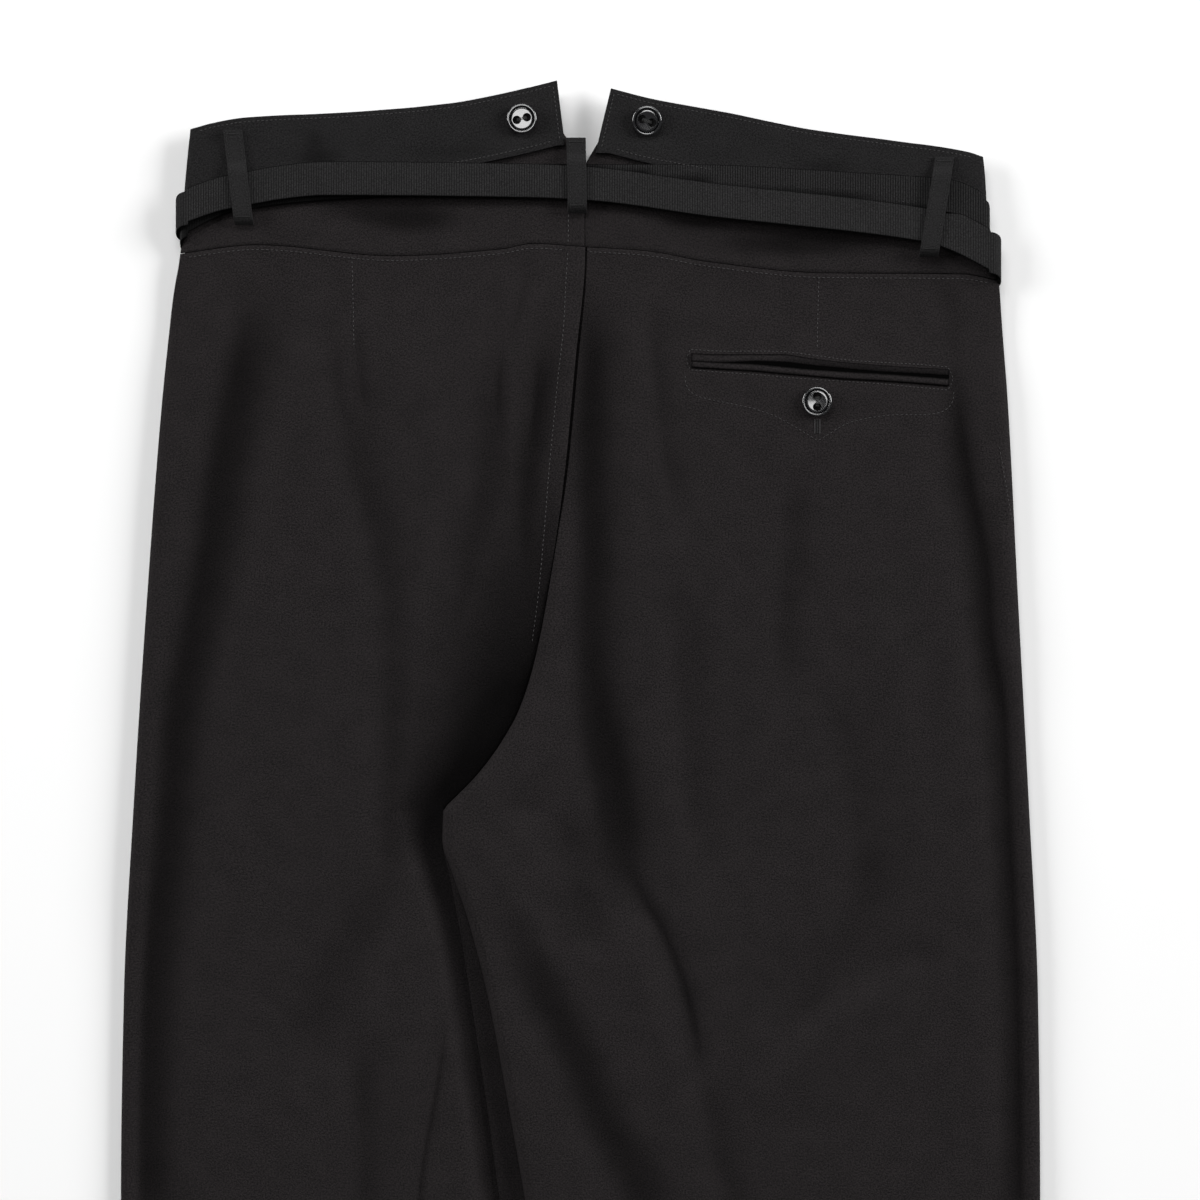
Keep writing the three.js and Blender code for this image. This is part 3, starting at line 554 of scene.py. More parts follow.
def left_back_height(x, down):
    """Lower face of the left back: full and soft, and pressed flat under the right leg."""
    edge = seam_or_inner_edge(RIGHT_FRONT, down)
    sink = edge - curve_at(CROSSING, down, 1)
    across = ease((x - sink) / (edge - 7 - sink))
    along = changed("dips_under_right_leg", down) * (1 - changed("legs_stop_crossing", down))
    free = back_base(down) + fullness(x, down) + fold_height(LEFT_FOLDS, x, down)
    free = free + felled_seam(x, down) + turned_edge(x, down)
    free = free + unevenness(x, down) + seam_puckers(x, down - yoke_seam(x))
    return soft_max(mix(free, PRESSED_Z, across * along), front_height(x, down) + CLOTH + GAP)


def right_back_height(x, down):
    free = back_base(down) + fullness(x, down) + fold_height(RIGHT_FOLDS, x, down) + crossed_leg_lift(x, down)
    free = free + turned_edge(x, down)
    free = free + unevenness(x, down) + seam_puckers(x, down - yoke_seam(x))
    return soft_max(free, right_front_height(x, down) + CLOTH + GAP)


# How dark the painted shade is at its fullest, from 0 to 1: fold troughs, the strip under the right back,
# yoke and band dents
FOLD_PAINTED_SHADE = 0.7
STRIP_PAINTED_SHADE = 0.4
YOKE_PAINTED_SHADE = 0.72
BAND_PAINTED_SHADE = 0.85

# Hollows under the ribbon and above it: the middle, the reach along X and downward, and the rise
# Where the cloth dips, shade is painted into its colour as well
YOKE_HOLLOWS = [
    (-88, 72, 24, 8, -1.0),
    (-118, 68, 16, 6, -0.5),
    (116, 85, 44, 7, -1.0),
    (58, 74, 22, 5, -0.6),
    (-150, 79, 12, 6, 0.3),
    (-22, 72, 12, 8, 0.4),
    (28, 76, 12, 7, 0.4),
    (184, 96, 14, 6, -0.6),
]
BAND_HOLLOWS = [
    (-138, 41, 13, 6, -0.6),
    (-138, 31, 7, 6, -0.4),
    (-70, 38, 28, 5, -0.4),
    (-190, 30, 5, 4, -0.4),
    (-160, 33, 6, 5, 0.3),
    (-150, 25, 9, 1.6, 0.35),
    (-110, 28, 12, 5, 0.2),
    (70, 40, 22, 6, -0.3),
    (128, 46, 16, 6, -0.5),
    (98, 28, 7, 1.5, 0.35),
    (160, 42, 9, 6, 0.3),
]


def dents(hollows, x, down):
    height = np.zeros(np.broadcast(x, down).shape)
    for middle_x, middle_down, reach_x, reach_down, rise in hollows:
        height += rise * np.exp(-(((x - middle_x) / reach_x) ** 2) - ((down - middle_down) / reach_down) ** 2)
    return height


def painted_dent_shade(hollows, x, down, strength):
    """How much painted shade the dents of a piece get, from 0 to 1."""
    return strength * ease(-dents(hollows, x, down))


def yoke_height(x, down):
    return back_base(down) + seam_puckers(x, yoke_seam(x) - down) + dents(YOKE_HOLLOWS, x, down)


def band_height(x, down):
    """Lower face of the back waistband, which is wavy along its stitched edges."""
    from_top = down - band_top(x)
    wave = 0.16 * np.sin(x / 9 + 0.8) + 0.12 * np.sin(x / 4.1 + from_top / 6)
    lift = 0.5 * np.exp(-((np.abs(x) - 45) / 26) ** 2) * ease((from_top - 20) / 14)
    return BACK_BAND_Z + wave * 0.8 + lift + dents(BAND_HOLLOWS, x, down)


# Building of cloth panels
def object_from(bm, name):
    """A new object with the mesh that a bmesh holds."""
    mesh = bpy.data.meshes.new(name)
    bm.to_mesh(mesh)
    bm.free()
    piece = bpy.data.objects.new(name, mesh)
    bpy.context.scene.collection.objects.link(piece)
    return piece


def stops_across(outer_steps, body_steps, inner_steps):
    """Stops across a panel: a rolled outer edge, the body and a rolled inner edge, as zone and amount."""
    zones = [0] * outer_steps + [1] * (body_steps + 1) + [2] * inner_steps
    amounts = [k / outer_steps * math.pi / 2 for k in range(outer_steps)]
    amounts += [k / body_steps for k in range(body_steps + 1)]
    amounts += [k / inner_steps * math.pi / 2 for k in reversed(range(inner_steps))]
    return np.array(zones), np.array(amounts)


def panel_points(shape):
    """The x, depth and height of every point of a panel's lower face."""
    zone, amount = shape["stops"]
    share = np.asarray(shape["rows"], float)[:, None]
    thickness = shape["thickness"]
    outer_roll = shape.get("outer_roll", 0)
    inner_roll = shape.get("inner_roll", 0)
    outer_reach = thickness + outer_roll if outer_roll else 0
    inner_reach = thickness + inner_roll if inner_roll else 0
    middle = 0.0
    down = mix(shape["top"](middle), shape["bottom"](middle), share) + 0 * amount
    for _ in range(6):
        outer, inner = shape["outer"](down), shape["inner"](down)
        inward = np.sign(inner - outer)
        body = mix(outer + inward * outer_reach, inner - inward * inner_reach, amount)
        at_outer = outer + inward * (thickness + outer_roll * (1 - np.cos(amount)))
        at_inner = inner - inward * (thickness + inner_roll * (1 - np.cos(amount)))
        x = np.where(zone == 0, at_outer, np.where(zone == 2, at_inner, body))
        down = mix(shape["top"](x), shape["bottom"](x), share)
    z = shape["height"](x, down) + np.zeros_like(x)
    if outer_roll:
        z = np.where(zone == 0, mix(shape["outer_edge"](x, down), z, np.sin(amount)), z)
    if inner_roll:
        z = np.where(zone == 2, mix(shape["inner_edge"](x, down), z, np.sin(amount)), z)
    return x, down, z


def grid_object(name, points, material, painted_shade=None):
    """A grid laid through rows of points (x, depth, height), with its cloth directions as UV, in metres.

    painted_shade says how much painted shade each point gets, from 0 to 1, where the cloth lies low or in
    shadow.
    """
    x, down, z = points
    rows, columns = x.shape
    bm = bmesh.new()
    bmesh.ops.create_grid(bm, x_segments=columns - 1, y_segments=rows - 1, size=0.5)
    piece = object_from(bm, name)
    mesh = piece.data
    flat = np.empty(3 * len(mesh.vertices), np.float32)
    mesh.vertices.foreach_get("co", flat)
    i = np.rint((0.5 - flat[1::3]) * (rows - 1)).astype(int)
    j = np.rint((flat[0::3] + 0.5) * (columns - 1)).astype(int)
    laid = np.stack([x[i, j], HIGHEST_Y - down[i, j], z[i, j]], axis=1) * MM
    mesh.vertices.foreach_set("co", laid.astype(np.float32).ravel())
    across = np.zeros_like(x)
    across[:, 1:] = np.cumsum(np.sqrt(np.diff(x) ** 2 + np.diff(z) ** 2 + np.diff(down) ** 2), axis=1)
    across -= across[:, columns // 2][:, None] - x[:, columns // 2].mean()
    along = np.zeros_like(x)
    along[1:] = np.cumsum(np.sqrt(np.diff(down, axis=0) ** 2 + np.diff(z, axis=0) ** 2), axis=0)
    corner = np.empty(len(mesh.loops), np.int32)
    mesh.loops.foreach_get("vertex_index", corner)
    uv = np.stack([across[i, j][corner], along[i, j][corner]], axis=1) * MM
    mesh.uv_layers.new(name="cloth").data.foreach_set("uv", uv.astype(np.float32).ravel())
    shade = np.zeros_like(x) if painted_shade is None else painted_shade + np.zeros_like(x)
    darkness = mesh.attributes.new("painted_shade", "FLOAT", "POINT")
    darkness.data.foreach_set("value", shade[i, j].astype(np.float32))
    mesh.shade_smooth()
    if sum(polygon.normal.z for polygon in mesh.polygons) < 0:
        mesh.flip_normals()
    mesh.update()
    mesh.materials.append(material)
    return piece


def thicken(piece, thickness, rounded=0.0):
    """Gives a cloth surface its thickness, outward from its lower face."""
    solid = piece.modifiers.new("thickness", "SOLIDIFY")
    solid.thickness = thickness * MM
    solid.offset = 1
    if rounded:
        edge = piece.modifiers.new("rounded edges", "BEVEL")
        edge.width = rounded * MM
        edge.segments = 2
        edge.limit_method = "ANGLE"
        edge.angle_limit = math.radians(50)
    shading = piece.modifiers.new("even shading", "WEIGHTED_NORMAL")
    shading.weight = 50
    return piece


def cut_size(points):
    """The flat width and length of a cloth surface in metres, and its area."""
    x, down, z = points
    wide = np.sqrt(np.diff(x) ** 2 + np.diff(down) ** 2 + np.diff(z) ** 2)
    long = np.sqrt(np.diff(x, axis=0) ** 2 + np.diff(down, axis=0) ** 2 + np.diff(z, axis=0) ** 2)
    width = wide.sum(axis=1).max() * MM
    length = long.sum(axis=0).max() * MM
    ax, ad, az = (np.diff(v)[:-1] for v in (x, down, z))
    bx, bd, bz = (np.diff(v, axis=0)[:, :-1] for v in (x, down, z))
    cross = np.sqrt((ad * bz - az * bd) ** 2 + (az * bx - ax * bz) ** 2 + (ax * bd - ad * bx) ** 2)
    return width, length, cross.sum() * MM * MM


def cloth_piece(name, node, points, thickness, material, rounded=0.0,
                painted_shade=None):
    """A piece of cloth in place of a CAD node, with the size of its cut measured on its surface."""
    piece = grid_object(name, points, material, painted_shade)
    thicken(piece, thickness, rounded)
    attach(piece, "root")
    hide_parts(node)
    width, length, area = cut_size(points)
    width, length = max(width, LEAST_CUT), max(length, LEAST_CUT)
    area = min(max(area, LEAST_CUT_SHARE * width * length), width * length)
    return piece


def leg_rows(top, spacings):
    """Rows of points down a leg panel, as shares of the way from its top to the hem."""
    stops = [top]
    for end, spacing in zip((FINE_ROWS_END, LENGTH), spacings):
        count = round((end - stops[-1]) / spacing)
        stops += list(np.linspace(stops[-1], end, count + 1)[1:])
    return (np.array(stops) - top) / (LENGTH - top)


def level(down):
    """A straight edge across a panel at one depth."""
    return lambda x: down + 0 * np.asarray(x, float)


def side_line(is_left, inset):
    """The outer edge of one side, drawn in by an inset that can change with depth."""
    if is_left:
        return lambda down: side_left(down) + inset(down)
    return lambda down: side_right(down) - inset(down)


def centre_line(is_left):
    """The centre seam, with half a gap to the panel of the other side."""
    return lambda down: centre_seam(down) + (-HALF_GAP if is_left else HALF_GAP)


def inner_line(column, offset):
    """The inner edge of a leg panel from the waist down, moved by an offset."""
    return lambda down: seam_or_inner_edge(column, down) + offset


def leg_painted_shade(side, x, down):
    """Painted shade of a back leg, from 0 to 1: in its troughs, and a painted shadow where the left leg dips
    under the right.
    """
    troughs = fold_height(LEFT_FOLDS if side == "left" else RIGHT_FOLDS, x, down)
    inside = ease((x - side_left(down) - 7) / 5) * ease((side_right(down) - x - 6) / 4)
    painted_shade = FOLD_PAINTED_SHADE * ease(-troughs / 5.6) * inside
    if side == "left":
        edge = seam_or_inner_edge(RIGHT_FRONT, down)
        near = 1 - ease(((edge - x) / curve_at(CROSSING, down, 3) - 0.12) / 0.88)
        painted_edge_shadow = curve_at(CROSSING, down, 2) * near * (1 - changed("legs_stop_crossing", down))
        return np.minimum(np.maximum(painted_shade, painted_edge_shadow), 1)
    return painted_shade


def crossing_strip(side, x, down):
    """Where the right front shows from under the right back's inner edge and gets painted shade: 1, fading to
    0.
    """
    if side == "left":
        return 0 * x
    return 1 - ease((x - inner_edge(RIGHT_BACK, down) - 3) / 4)


def back_leg_points(side):
    is_left = side == "left"
    front_top = front_height if is_left else right_front_height
    height = left_back_height if is_left else right_back_height

    def rest_on_front(x, down):
        return front_top(x, down) + CLOTH + 2 * GAP

    def rolled_in(x, down):
        return mix(height(x, down), rest_on_front(x, down), changed("seam_rolls", down))

    seat_top = float(yoke_seam(centre_seam(SEAM_MEETS_YOKE))) + HALF_GAP
    return panel_points({
        "top": lambda x: yoke_seam(x) + HALF_GAP,
        "bottom": level(LENGTH),
        "rows": leg_rows(seat_top, BACK_ROWS),
        "stops": stops_across(8, 104, 0) if is_left else stops_across(8, 100, 6),
        "outer": side_left if is_left else side_right,
        "inner": inner_line(LEFT_LEG, -HALF_GAP) if is_left else inner_line(RIGHT_BACK, HALF_GAP),
        "outer_roll": SIDE_ROLL,
        "inner_roll": 0 if is_left else SEAM_ROLL,
        "outer_edge": rest_on_front,
        "inner_edge": rolled_in,
        "height": height,
        "thickness": CLOTH,
    })


def front_leg_points(side):
    is_left = side == "left"

    def top_line(x):
        return front_band_top(x) + FRONT_BAND_HEIGHT + GAP

    def inset(down):
        return FRONT_INSET * (1 - changed("front_reaches_side", down))

    return panel_points({
        "top": top_line,
        "bottom": level(LENGTH),
        "rows": leg_rows(float(top_line(0)), FRONT_ROWS),
        "stops": stops_across(0, 52, 0),
        "outer": side_line(is_left, inset),
        "inner": inner_line(LEFT_LEG if is_left else RIGHT_FRONT, 0),
        "height": front_height if is_left else right_front_height,
        "thickness": CLOTH,
    })


def yoke_points(side):
    is_left = side == "left"
    lap = 8
    reach = 12 if is_left else 8
    outer = side_left if is_left else side_right

    def top_line(x):
        band_bottom = band_top(x) + BAND_HEIGHT
        from_side = np.abs(outer(band_bottom) - x)
        under_band = band_bottom - mix(-GAP, lap, np.clip((from_side - 8) / 6, 0, 1))
        return mix(NOTCH_DOWN, under_band, np.clip(np.abs(x - NOTCH_X) / reach, 0, 1))

    return panel_points({
        "top": top_line,
        "bottom": lambda x: yoke_seam(x) - HALF_GAP,
        "rows": np.linspace(0, 1, 25),
        "stops": stops_across(6, 110, 0),
        "outer": outer,
        "inner": centre_line(is_left),
        "outer_roll": YOKE_ROLL,
        "outer_edge": lambda x, down: front_height(x, down) + CLOTH + GAP,
        "height": yoke_height,
        "thickness": CLOTH,
    })


def band_end(slant, top):
    return lambda down: mix(slant[0], slant[1], (down - top) / BAND_HEIGHT)


def back_band_points(side):
    is_left = side == "left"
    return panel_points({
        "top": band_top,
        "bottom": lambda x: band_top(x) + BAND_HEIGHT,
        "rows": np.linspace(0, 1, 19),
        "stops": stops_across(6, 110, 0),
        "outer": side_left if is_left else side_right,
        "inner": band_end(NOTCH_LEFT, 0) if is_left else band_end(NOTCH_RIGHT, BAND_TOP_RIGHT[0][1]),
        "outer_roll": BAND_ROLL,
        "outer_edge": lambda x, down: YOKE_Z + 0 * x,
        "height": band_height,
        "thickness": BAND,
    })


def front_band_points(side):
    is_left = side == "left"
    return panel_points({
        "top": front_band_top,
        "bottom": lambda x: front_band_top(x) + FRONT_BAND_HEIGHT,
        "rows": np.linspace(0, 1, 9),
        "stops": stops_across(0, 44, 0),
        "outer": side_line(is_left, lambda down: FRONT_INSET),
        "inner": centre_line(is_left),
        "height": lambda x, down: FRONT_BAND_Z + 0 * x,
        "thickness": BAND,
    })


def fly_points():
    return panel_points({
        "top": level(FLY_TOP),
        "bottom": level(FLY_BOTTOM),
        "rows": np.linspace(0, 1, 41),
        "stops": stops_across(0, 12, 0),
        "outer": lambda down: centre_seam(down) - FLY_HALF_WIDTH,
        "inner": lambda down: centre_seam(down) + FLY_HALF_WIDTH,
        "height": lambda x, down: front_height(centre_seam(down), down) - FLY_LIFT,
        "thickness": CLOTH,
    })


# Materials: how many yarns, flecks and dye patches there are in a metre of cloth
YARN_SCALES = ((1900, 900, 1), (900, 1900, 1))
FLECK_SCALE = 1200
PATCH_SCALE = 70


def noise_node(nodes, links, source, scale, detail):
    noise = nodes.new("ShaderNodeTexNoise")
    noise.inputs["Scale"].default_value = scale
    noise.inputs["Detail"].default_value = detail
    links.new(source, noise.inputs["Vector"])
    return noise.outputs["Fac"]


def cloth_material(name, dark, light, grain=1.0, hollow_shade=0.2):
    """Close canvas: fine yarns across and along, a slight fleck in the dye, and painted shade that darkens it
    toward hollow_shade.
    """
    material = bpy.data.materials.new(name)
    material.use_nodes = True
    nodes, links = material.node_tree.nodes, material.node_tree.links
    shader = nodes["Principled BSDF"]
    shader.inputs["Roughness"].default_value = 0.9
    shader.inputs["Specular IOR Level"].default_value = 0.03
    uv = nodes.new("ShaderNodeUVMap")
    uv.uv_map = "cloth"
    heights = []
    for stretch in YARN_SCALES:
        turn = nodes.new("ShaderNodeMapping")
        turn.inputs["Scale"].default_value = stretch
        links.new(uv.outputs["UV"], turn.inputs["Vector"])
        heights.append(noise_node(nodes, links, turn.outputs["Vector"], 1.0, 1.0))
    both = nodes.new("ShaderNodeMath")
    both.operation = "ADD"
    links.new(heights[0], both.inputs[0])
    links.new(heights[1], both.inputs[1])
    bump = nodes.new("ShaderNodeBump")
    bump.inputs["Strength"].default_value = 0.5 * grain
    bump.inputs["Distance"].default_value = 0.0004
    links.new(both.outputs["Value"], bump.inputs["Height"])
    links.new(bump.outputs["Normal"], shader.inputs["Normal"])
    fleck = noise_node(nodes, links, uv.outputs["UV"], FLECK_SCALE, 2)
    patch = noise_node(nodes, links, uv.outputs["UV"], PATCH_SCALE, 3)
    together = nodes.new("ShaderNodeMath")
    together.operation = "MULTIPLY_ADD"
    together.inputs[1].default_value = 0.16
    links.new(patch, together.inputs[0])
    links.new(fleck, together.inputs[2])
    spread = nodes.new("ShaderNodeMapRange")
    spread.inputs["From Min"].default_value = 0.43
    spread.inputs["From Max"].default_value = 0.73
    links.new(together.outputs["Value"], spread.inputs["Value"])
    colour = nodes.new("ShaderNodeMix")
    colour.data_type = "RGBA"
    colour.inputs["A"].default_value = (*dark, 1)
    colour.inputs["B"].default_value = (*light, 1)
    links.new(spread.outputs["Result"], colour.inputs["Factor"])
    # Painted shade: the colour is multiplied toward hollow_shade as far as the painted_shade attribute says
    painted_shade = nodes.new("ShaderNodeAttribute")
    painted_shade.attribute_name = "painted_shade"
    shade = nodes.new("ShaderNodeMix")
    shade.data_type = "RGBA"
    shade.blend_type = "MULTIPLY"
    shade.inputs["B"].default_value = (hollow_shade, hollow_shade, hollow_shade, 1)
    links.new(painted_shade.outputs["Fac"], shade.inputs["Factor"])
    links.new(colour.outputs["Result"], shade.inputs["A"])
    links.new(shade.outputs["Result"], shader.inputs["Base Color"])
    return material


def plain_material(name, colour, roughness, coat=0.0, shine=0.5):
    material = bpy.data.materials.new(name)
    material.use_nodes = True
    shader = material.node_tree.nodes["Principled BSDF"]
    shader.inputs["Base Color"].default_value = (*colour, 1)
    shader.inputs["Roughness"].default_value = roughness
    shader.inputs["Specular IOR Level"].default_value = shine
    shader.inputs["Coat Weight"].default_value = coat
    shader.inputs["Coat Roughness"].default_value = 0.06
    return material


CANVAS_COLOURS = (0.0086, 0.0079, 0.0081), (0.0212, 0.0186, 0.0191)
canvas = cloth_material("canvas", *CANVAS_COLOURS)
waistband_cloth = cloth_material("waistband cloth", (0.0078, 0.0076, 0.0078), (0.0182, 0.0177, 0.0181))
# The welts' and the grosgrain's painted shade goes nearly to black: in the slit, along the welts' outlines,
# in the rib grooves
welt_cloth = cloth_material("pocket welt cloth", *CANVAS_COLOURS, hollow_shade=0.02)
loop_cloth = cloth_material("belt loop cloth", (0.0112, 0.0110, 0.0112), (0.0205, 0.0201, 0.0205))
ribbon_cloth = cloth_material("grosgrain", (0.0135, 0.0133, 0.0135), (0.0265, 0.0261, 0.0265), grain=0.4,
                              hollow_shade=0.03)
thread = plain_material("sewing thread", (0.031, 0.0295, 0.030), 0.7)
loop_thread = plain_material("belt loop thread", (0.012, 0.0117, 0.0118), 0.8)
button_plastic = plain_material("black button plastic", (0.008, 0.008, 0.009), 0.14, coat=1.0, shine=0.9)

# Cloth panels
for side in ("left", "right"):
    front = front_leg_points(side)
    cloth_piece(f"{side}_front_leg_cloth", f"front_leg_{side}", front, CLOTH, canvas,
                painted_shade=STRIP_PAINTED_SHADE * crossing_strip(side, *front[:2]))
    cloth_piece(f"{side}_front_waistband_cloth", f"waistband_front_{side}",
                front_band_points(side), BAND, waistband_cloth)
    leg, yoke, band = back_leg_points(side), yoke_points(side), back_band_points(side)
    cloth_piece(f"{side}_back_leg_cloth", f"back_leg_{side}", leg, CLOTH, canvas,
                painted_shade=leg_painted_shade(side, *leg[:2]))
    cloth_piece(f"{side}_back_yoke_cloth", f"back_yoke_{side}", yoke, CLOTH, canvas,
                painted_shade=painted_dent_shade(YOKE_HOLLOWS, *yoke[:2], YOKE_PAINTED_SHADE))
    cloth_piece(f"{side}_back_waistband_cloth", f"waistband_back_{side}", band, BAND,
                waistband_cloth, rounded=0.45,
                painted_shade=painted_dent_shade(BAND_HOLLOWS, *band[:2], BAND_PAINTED_SHADE))
cloth_piece("fly_cloth", "fly_flap", fly_points(), CLOTH, canvas)


# Ribbon belt: its ribs, and how far it sags on the way from the back to the front
RIB_PITCH = 1.3
RIB_HEIGHT = 0.14
RIBBON_SAG = 8.0

# Each turn starts to bend round a side a little inside its edge, and passes clear of it
WRAP_START = 3.2
INNER_CLEARANCE = 1.3
OUTER_CLEARANCE = 2.6

# The x where a turn is open on the hidden front
FRONT_MIDDLE = 2.0

# The outer turn leaves the right side at a slant, so more of it shows from this x on, and by this much
SLANT_START = 186
SLANT_WIDTH = 14
SLANT_GAIN = 4

# Where a slack turn bows off the cloth: x, reach, and the rise of its upper and lower edges
OUTER_BOWS = [(88, 52, 0.2, 1.6), (-88, 44, 0.3, 0.9), (150, 22, 0.0, 0.5)]
INNER_BOWS = [(70, 40, 0.1, 0.2)]


def ribbon_front_down(side_down, share):
    return mix(RIBBON_FRONT_DOWN, side_down + RIBBON_SAG, ease(share))


def ribbon_points(layer):
    """Points of one turn of ribbon from the middle of the front over the left side, the back and round again.

    Returns them with the painted shade of each one: in the grooves between the ribs, and a painted shadow
    along the edge of the turn above.
    """
    is_inner = layer == "inner"
    line = RIBBON_INNER_LINE if is_inner else RIBBON_OUTER_LINE
    back_z = (RIBBON_INNER_BACK_Z if is_inner else RIBBON_OUTER_BACK_Z) + RIBBON / 2
    front_z = (RIBBON_INNER_FRONT_Z if is_inner else RIBBON_OUTER_FRONT_Z) + RIBBON / 2
    clearance = INNER_CLEARANCE if is_inner else OUTER_CLEARANCE
    middle_z = (back_z + front_z) / 2
    half_height = (back_z - front_z) / 2
    left_down, right_down = line[0][1], line[-1][1]
    left_x = float(side_left(RIBBON_INNER_LINE[0][1] + RIBBON_WIDTH)) + WRAP_START
    right_x = float(side_right(right_down + RIBBON_WIDTH)) - WRAP_START
    step = RIB_PITCH / 4
    stations = []
    front_count = round((FRONT_MIDDLE - left_x) / step)
    for t in np.arange(front_count) / front_count:
        x = mix(FRONT_MIDDLE - HALF_GAP, left_x, t)
        stations.append((x, front_z, ribbon_front_down(left_down, t), 0, -1))

    def wrap(edge_x, sign, down):
        count = 48
        for angle in -math.pi / 2 + np.arange(count + 1) / count * math.pi:
            out, up = math.cos(angle), math.sin(angle) * -sign
            x = edge_x + sign * out * (WRAP_START + clearance)
            sag = RIBBON_SAG * (1 - up) / 2
            stations.append((x, middle_z + up * half_height, down + sag, sign * out, up))

    wrap(left_x, -1, left_down)
    back_count = round((right_x - left_x) / step)
    for t in np.arange(1, back_count) / back_count:
        x = mix(left_x, right_x, t)
        stations.append((x, back_z, float(curve_at(line, x)), 0, 1))
    wrap(right_x, 1, right_down)
    for t in 1 - np.arange(1, front_count + 1) / front_count:
        x = mix(FRONT_MIDDLE + HALF_GAP, right_x, t)
        stations.append((x, front_z, ribbon_front_down(right_down, t), 0, -1))
    x, z, down, lean_x, lean_z = (np.array(v)[None, :] for v in zip(*stations))
    travel = np.concatenate([[0], np.cumsum(np.hypot(np.diff(x[0]), np.diff(z[0])))])[None, :]
    across = np.array([0, 0.035, 0.07, 0.25, 0.5, 0.75, 0.93, 0.965, 1])[:, None]
    rib = RIB_HEIGHT * np.abs(np.sin(math.pi * travel / RIB_PITCH)) * ((across > 0.03) & (across < 0.97))
    reach = rib - RIBBON / 2
    on_back = ease((lean_z - 0.5) / 0.5)
    lift = on_back * ribbon_lift(x, across, is_inner)
    wider = 0 if is_inner else SLANT_GAIN * ease((x - SLANT_START) / SLANT_WIDTH) * (1 - across)
    points = x + lean_x * reach, down + across * RIBBON_WIDTH - wider, z + lean_z * reach + lift
    gap = curve_at(RIBBON_OUTER_LINE, x) - points[1]
    beside = (1 - ease((gap - 0.2) / 1.8)) * on_back if is_inner else 0
    return points, np.maximum(1 - ease(rib / RIB_HEIGHT * 1.05), 0.8 * beside)


def ribbon_lift(x, across, is_inner):
    """Height that the slack ribbon gains off the cloth."""
    total = 0
    for middle, reach, upper, lower in INNER_BOWS if is_inner else OUTER_BOWS:
        total = total + mix(upper, lower, across) * np.exp(-(((x - middle) / reach) ** 2))
    return total


for layer in ("inner", "outer"):
    # ribs is painted shade: in the rib grooves, and the outer turn's shadow on the inner one
    turn, ribs = ribbon_points(layer)
    cloth_piece(f"ribbon_{layer}_turn", f"ribbon_belt_{layer}_turn", turn, RIBBON - RIB_HEIGHT,
                ribbon_cloth,
                painted_shade=ribs)


# Belt loops: how far past the ribbon's edges a back loop stays raised
LOOP_EASE = 1.5


def path_height(stops, down):
    """Height along a loop, which bends softly at each stop."""
    keys = [stop[0] for stop in stops]
    values = [stop[1] for stop in stops]
    spread = np.linspace(-1.6, 1.6, 9)
    return np.mean([np.interp(down + shift, keys, values) for shift in spread], axis=0)


def loop_points(top_x, bottom_x, stops):
    down = np.linspace(stops[0][0], stops[-1][0], 49)[:, None]
    across = np.linspace(-0.5, 0.5, 13)[None, :]
    share = (down - stops[0][0]) / (stops[-1][0] - stops[0][0])
    x = mix(top_x, bottom_x, share) + across * LOOP_WIDTH
    z = path_height(stops, down) + 0 * across
    return x, down + 0 * across, z


def back_loop_stops(loop):
    _, top_x, top, bottom_x, bottom = loop
    middle = mix(top_x, bottom_x, 0.5)
    outer_top = float(curve_at(RIBBON_OUTER_LINE, middle))
    inner_top = float(curve_at(RIBBON_INNER_LINE, middle))
    ribbon_top = min(outer_top, inner_top) - LOOP_EASE
    ribbon_bottom = max(outer_top, inner_top) + RIBBON_WIDTH + LOOP_EASE
    return [
        (top, RIBBON_INNER_BACK_Z),
        (ribbon_top - 3.5, RIBBON_INNER_BACK_Z + GAP),
        (ribbon_top, BACK_LOOP_Z),
        (ribbon_bottom, BACK_LOOP_Z),
        (max(bottom, ribbon_bottom + 2.4) - 1.1, BACK_LOOP_Z - 0.9),
        (max(bottom, ribbon_bottom + 2.4), BACK_BAND_Z + 2 * GAP),
    ]


def front_loop_stops(x):
    sewn = FRONT_BAND_Z - GAP - LOOP
    end = 0 if x < 0 else -1
    share = abs(x / float(side_right(RIBBON_FRONT_DOWN)))
    turns = [float(ribbon_front_down(line[end][1], share)) for line in (RIBBON_OUTER_LINE, RIBBON_INNER_LINE)]
    ribbon_top = min(turns) - 2
    ribbon_bottom = max(turns) + RIBBON_WIDTH + 2
    return [
        (float(front_band_top(x)) + 2, sewn),
        (ribbon_top - 5, sewn),
        (ribbon_top, FRONT_LOOP_Z),
        (ribbon_bottom, FRONT_LOOP_Z),
        (ribbon_bottom + 5, sewn - GAP),
    ]


for loop in BELT_LOOPS:
    name, top_x, _, bottom_x, _ = loop
    cloth_piece(f"{name}_cloth", name, loop_points(top_x, bottom_x, back_loop_stops(loop)),
                LOOP, loop_cloth, rounded=0.3)
for name, x in FRONT_BELT_LOOPS:
    cloth_piece(f"{name}_cloth", name, loop_points(x, x, front_loop_stops(x)),
                LOOP, loop_cloth, rounded=0.3)


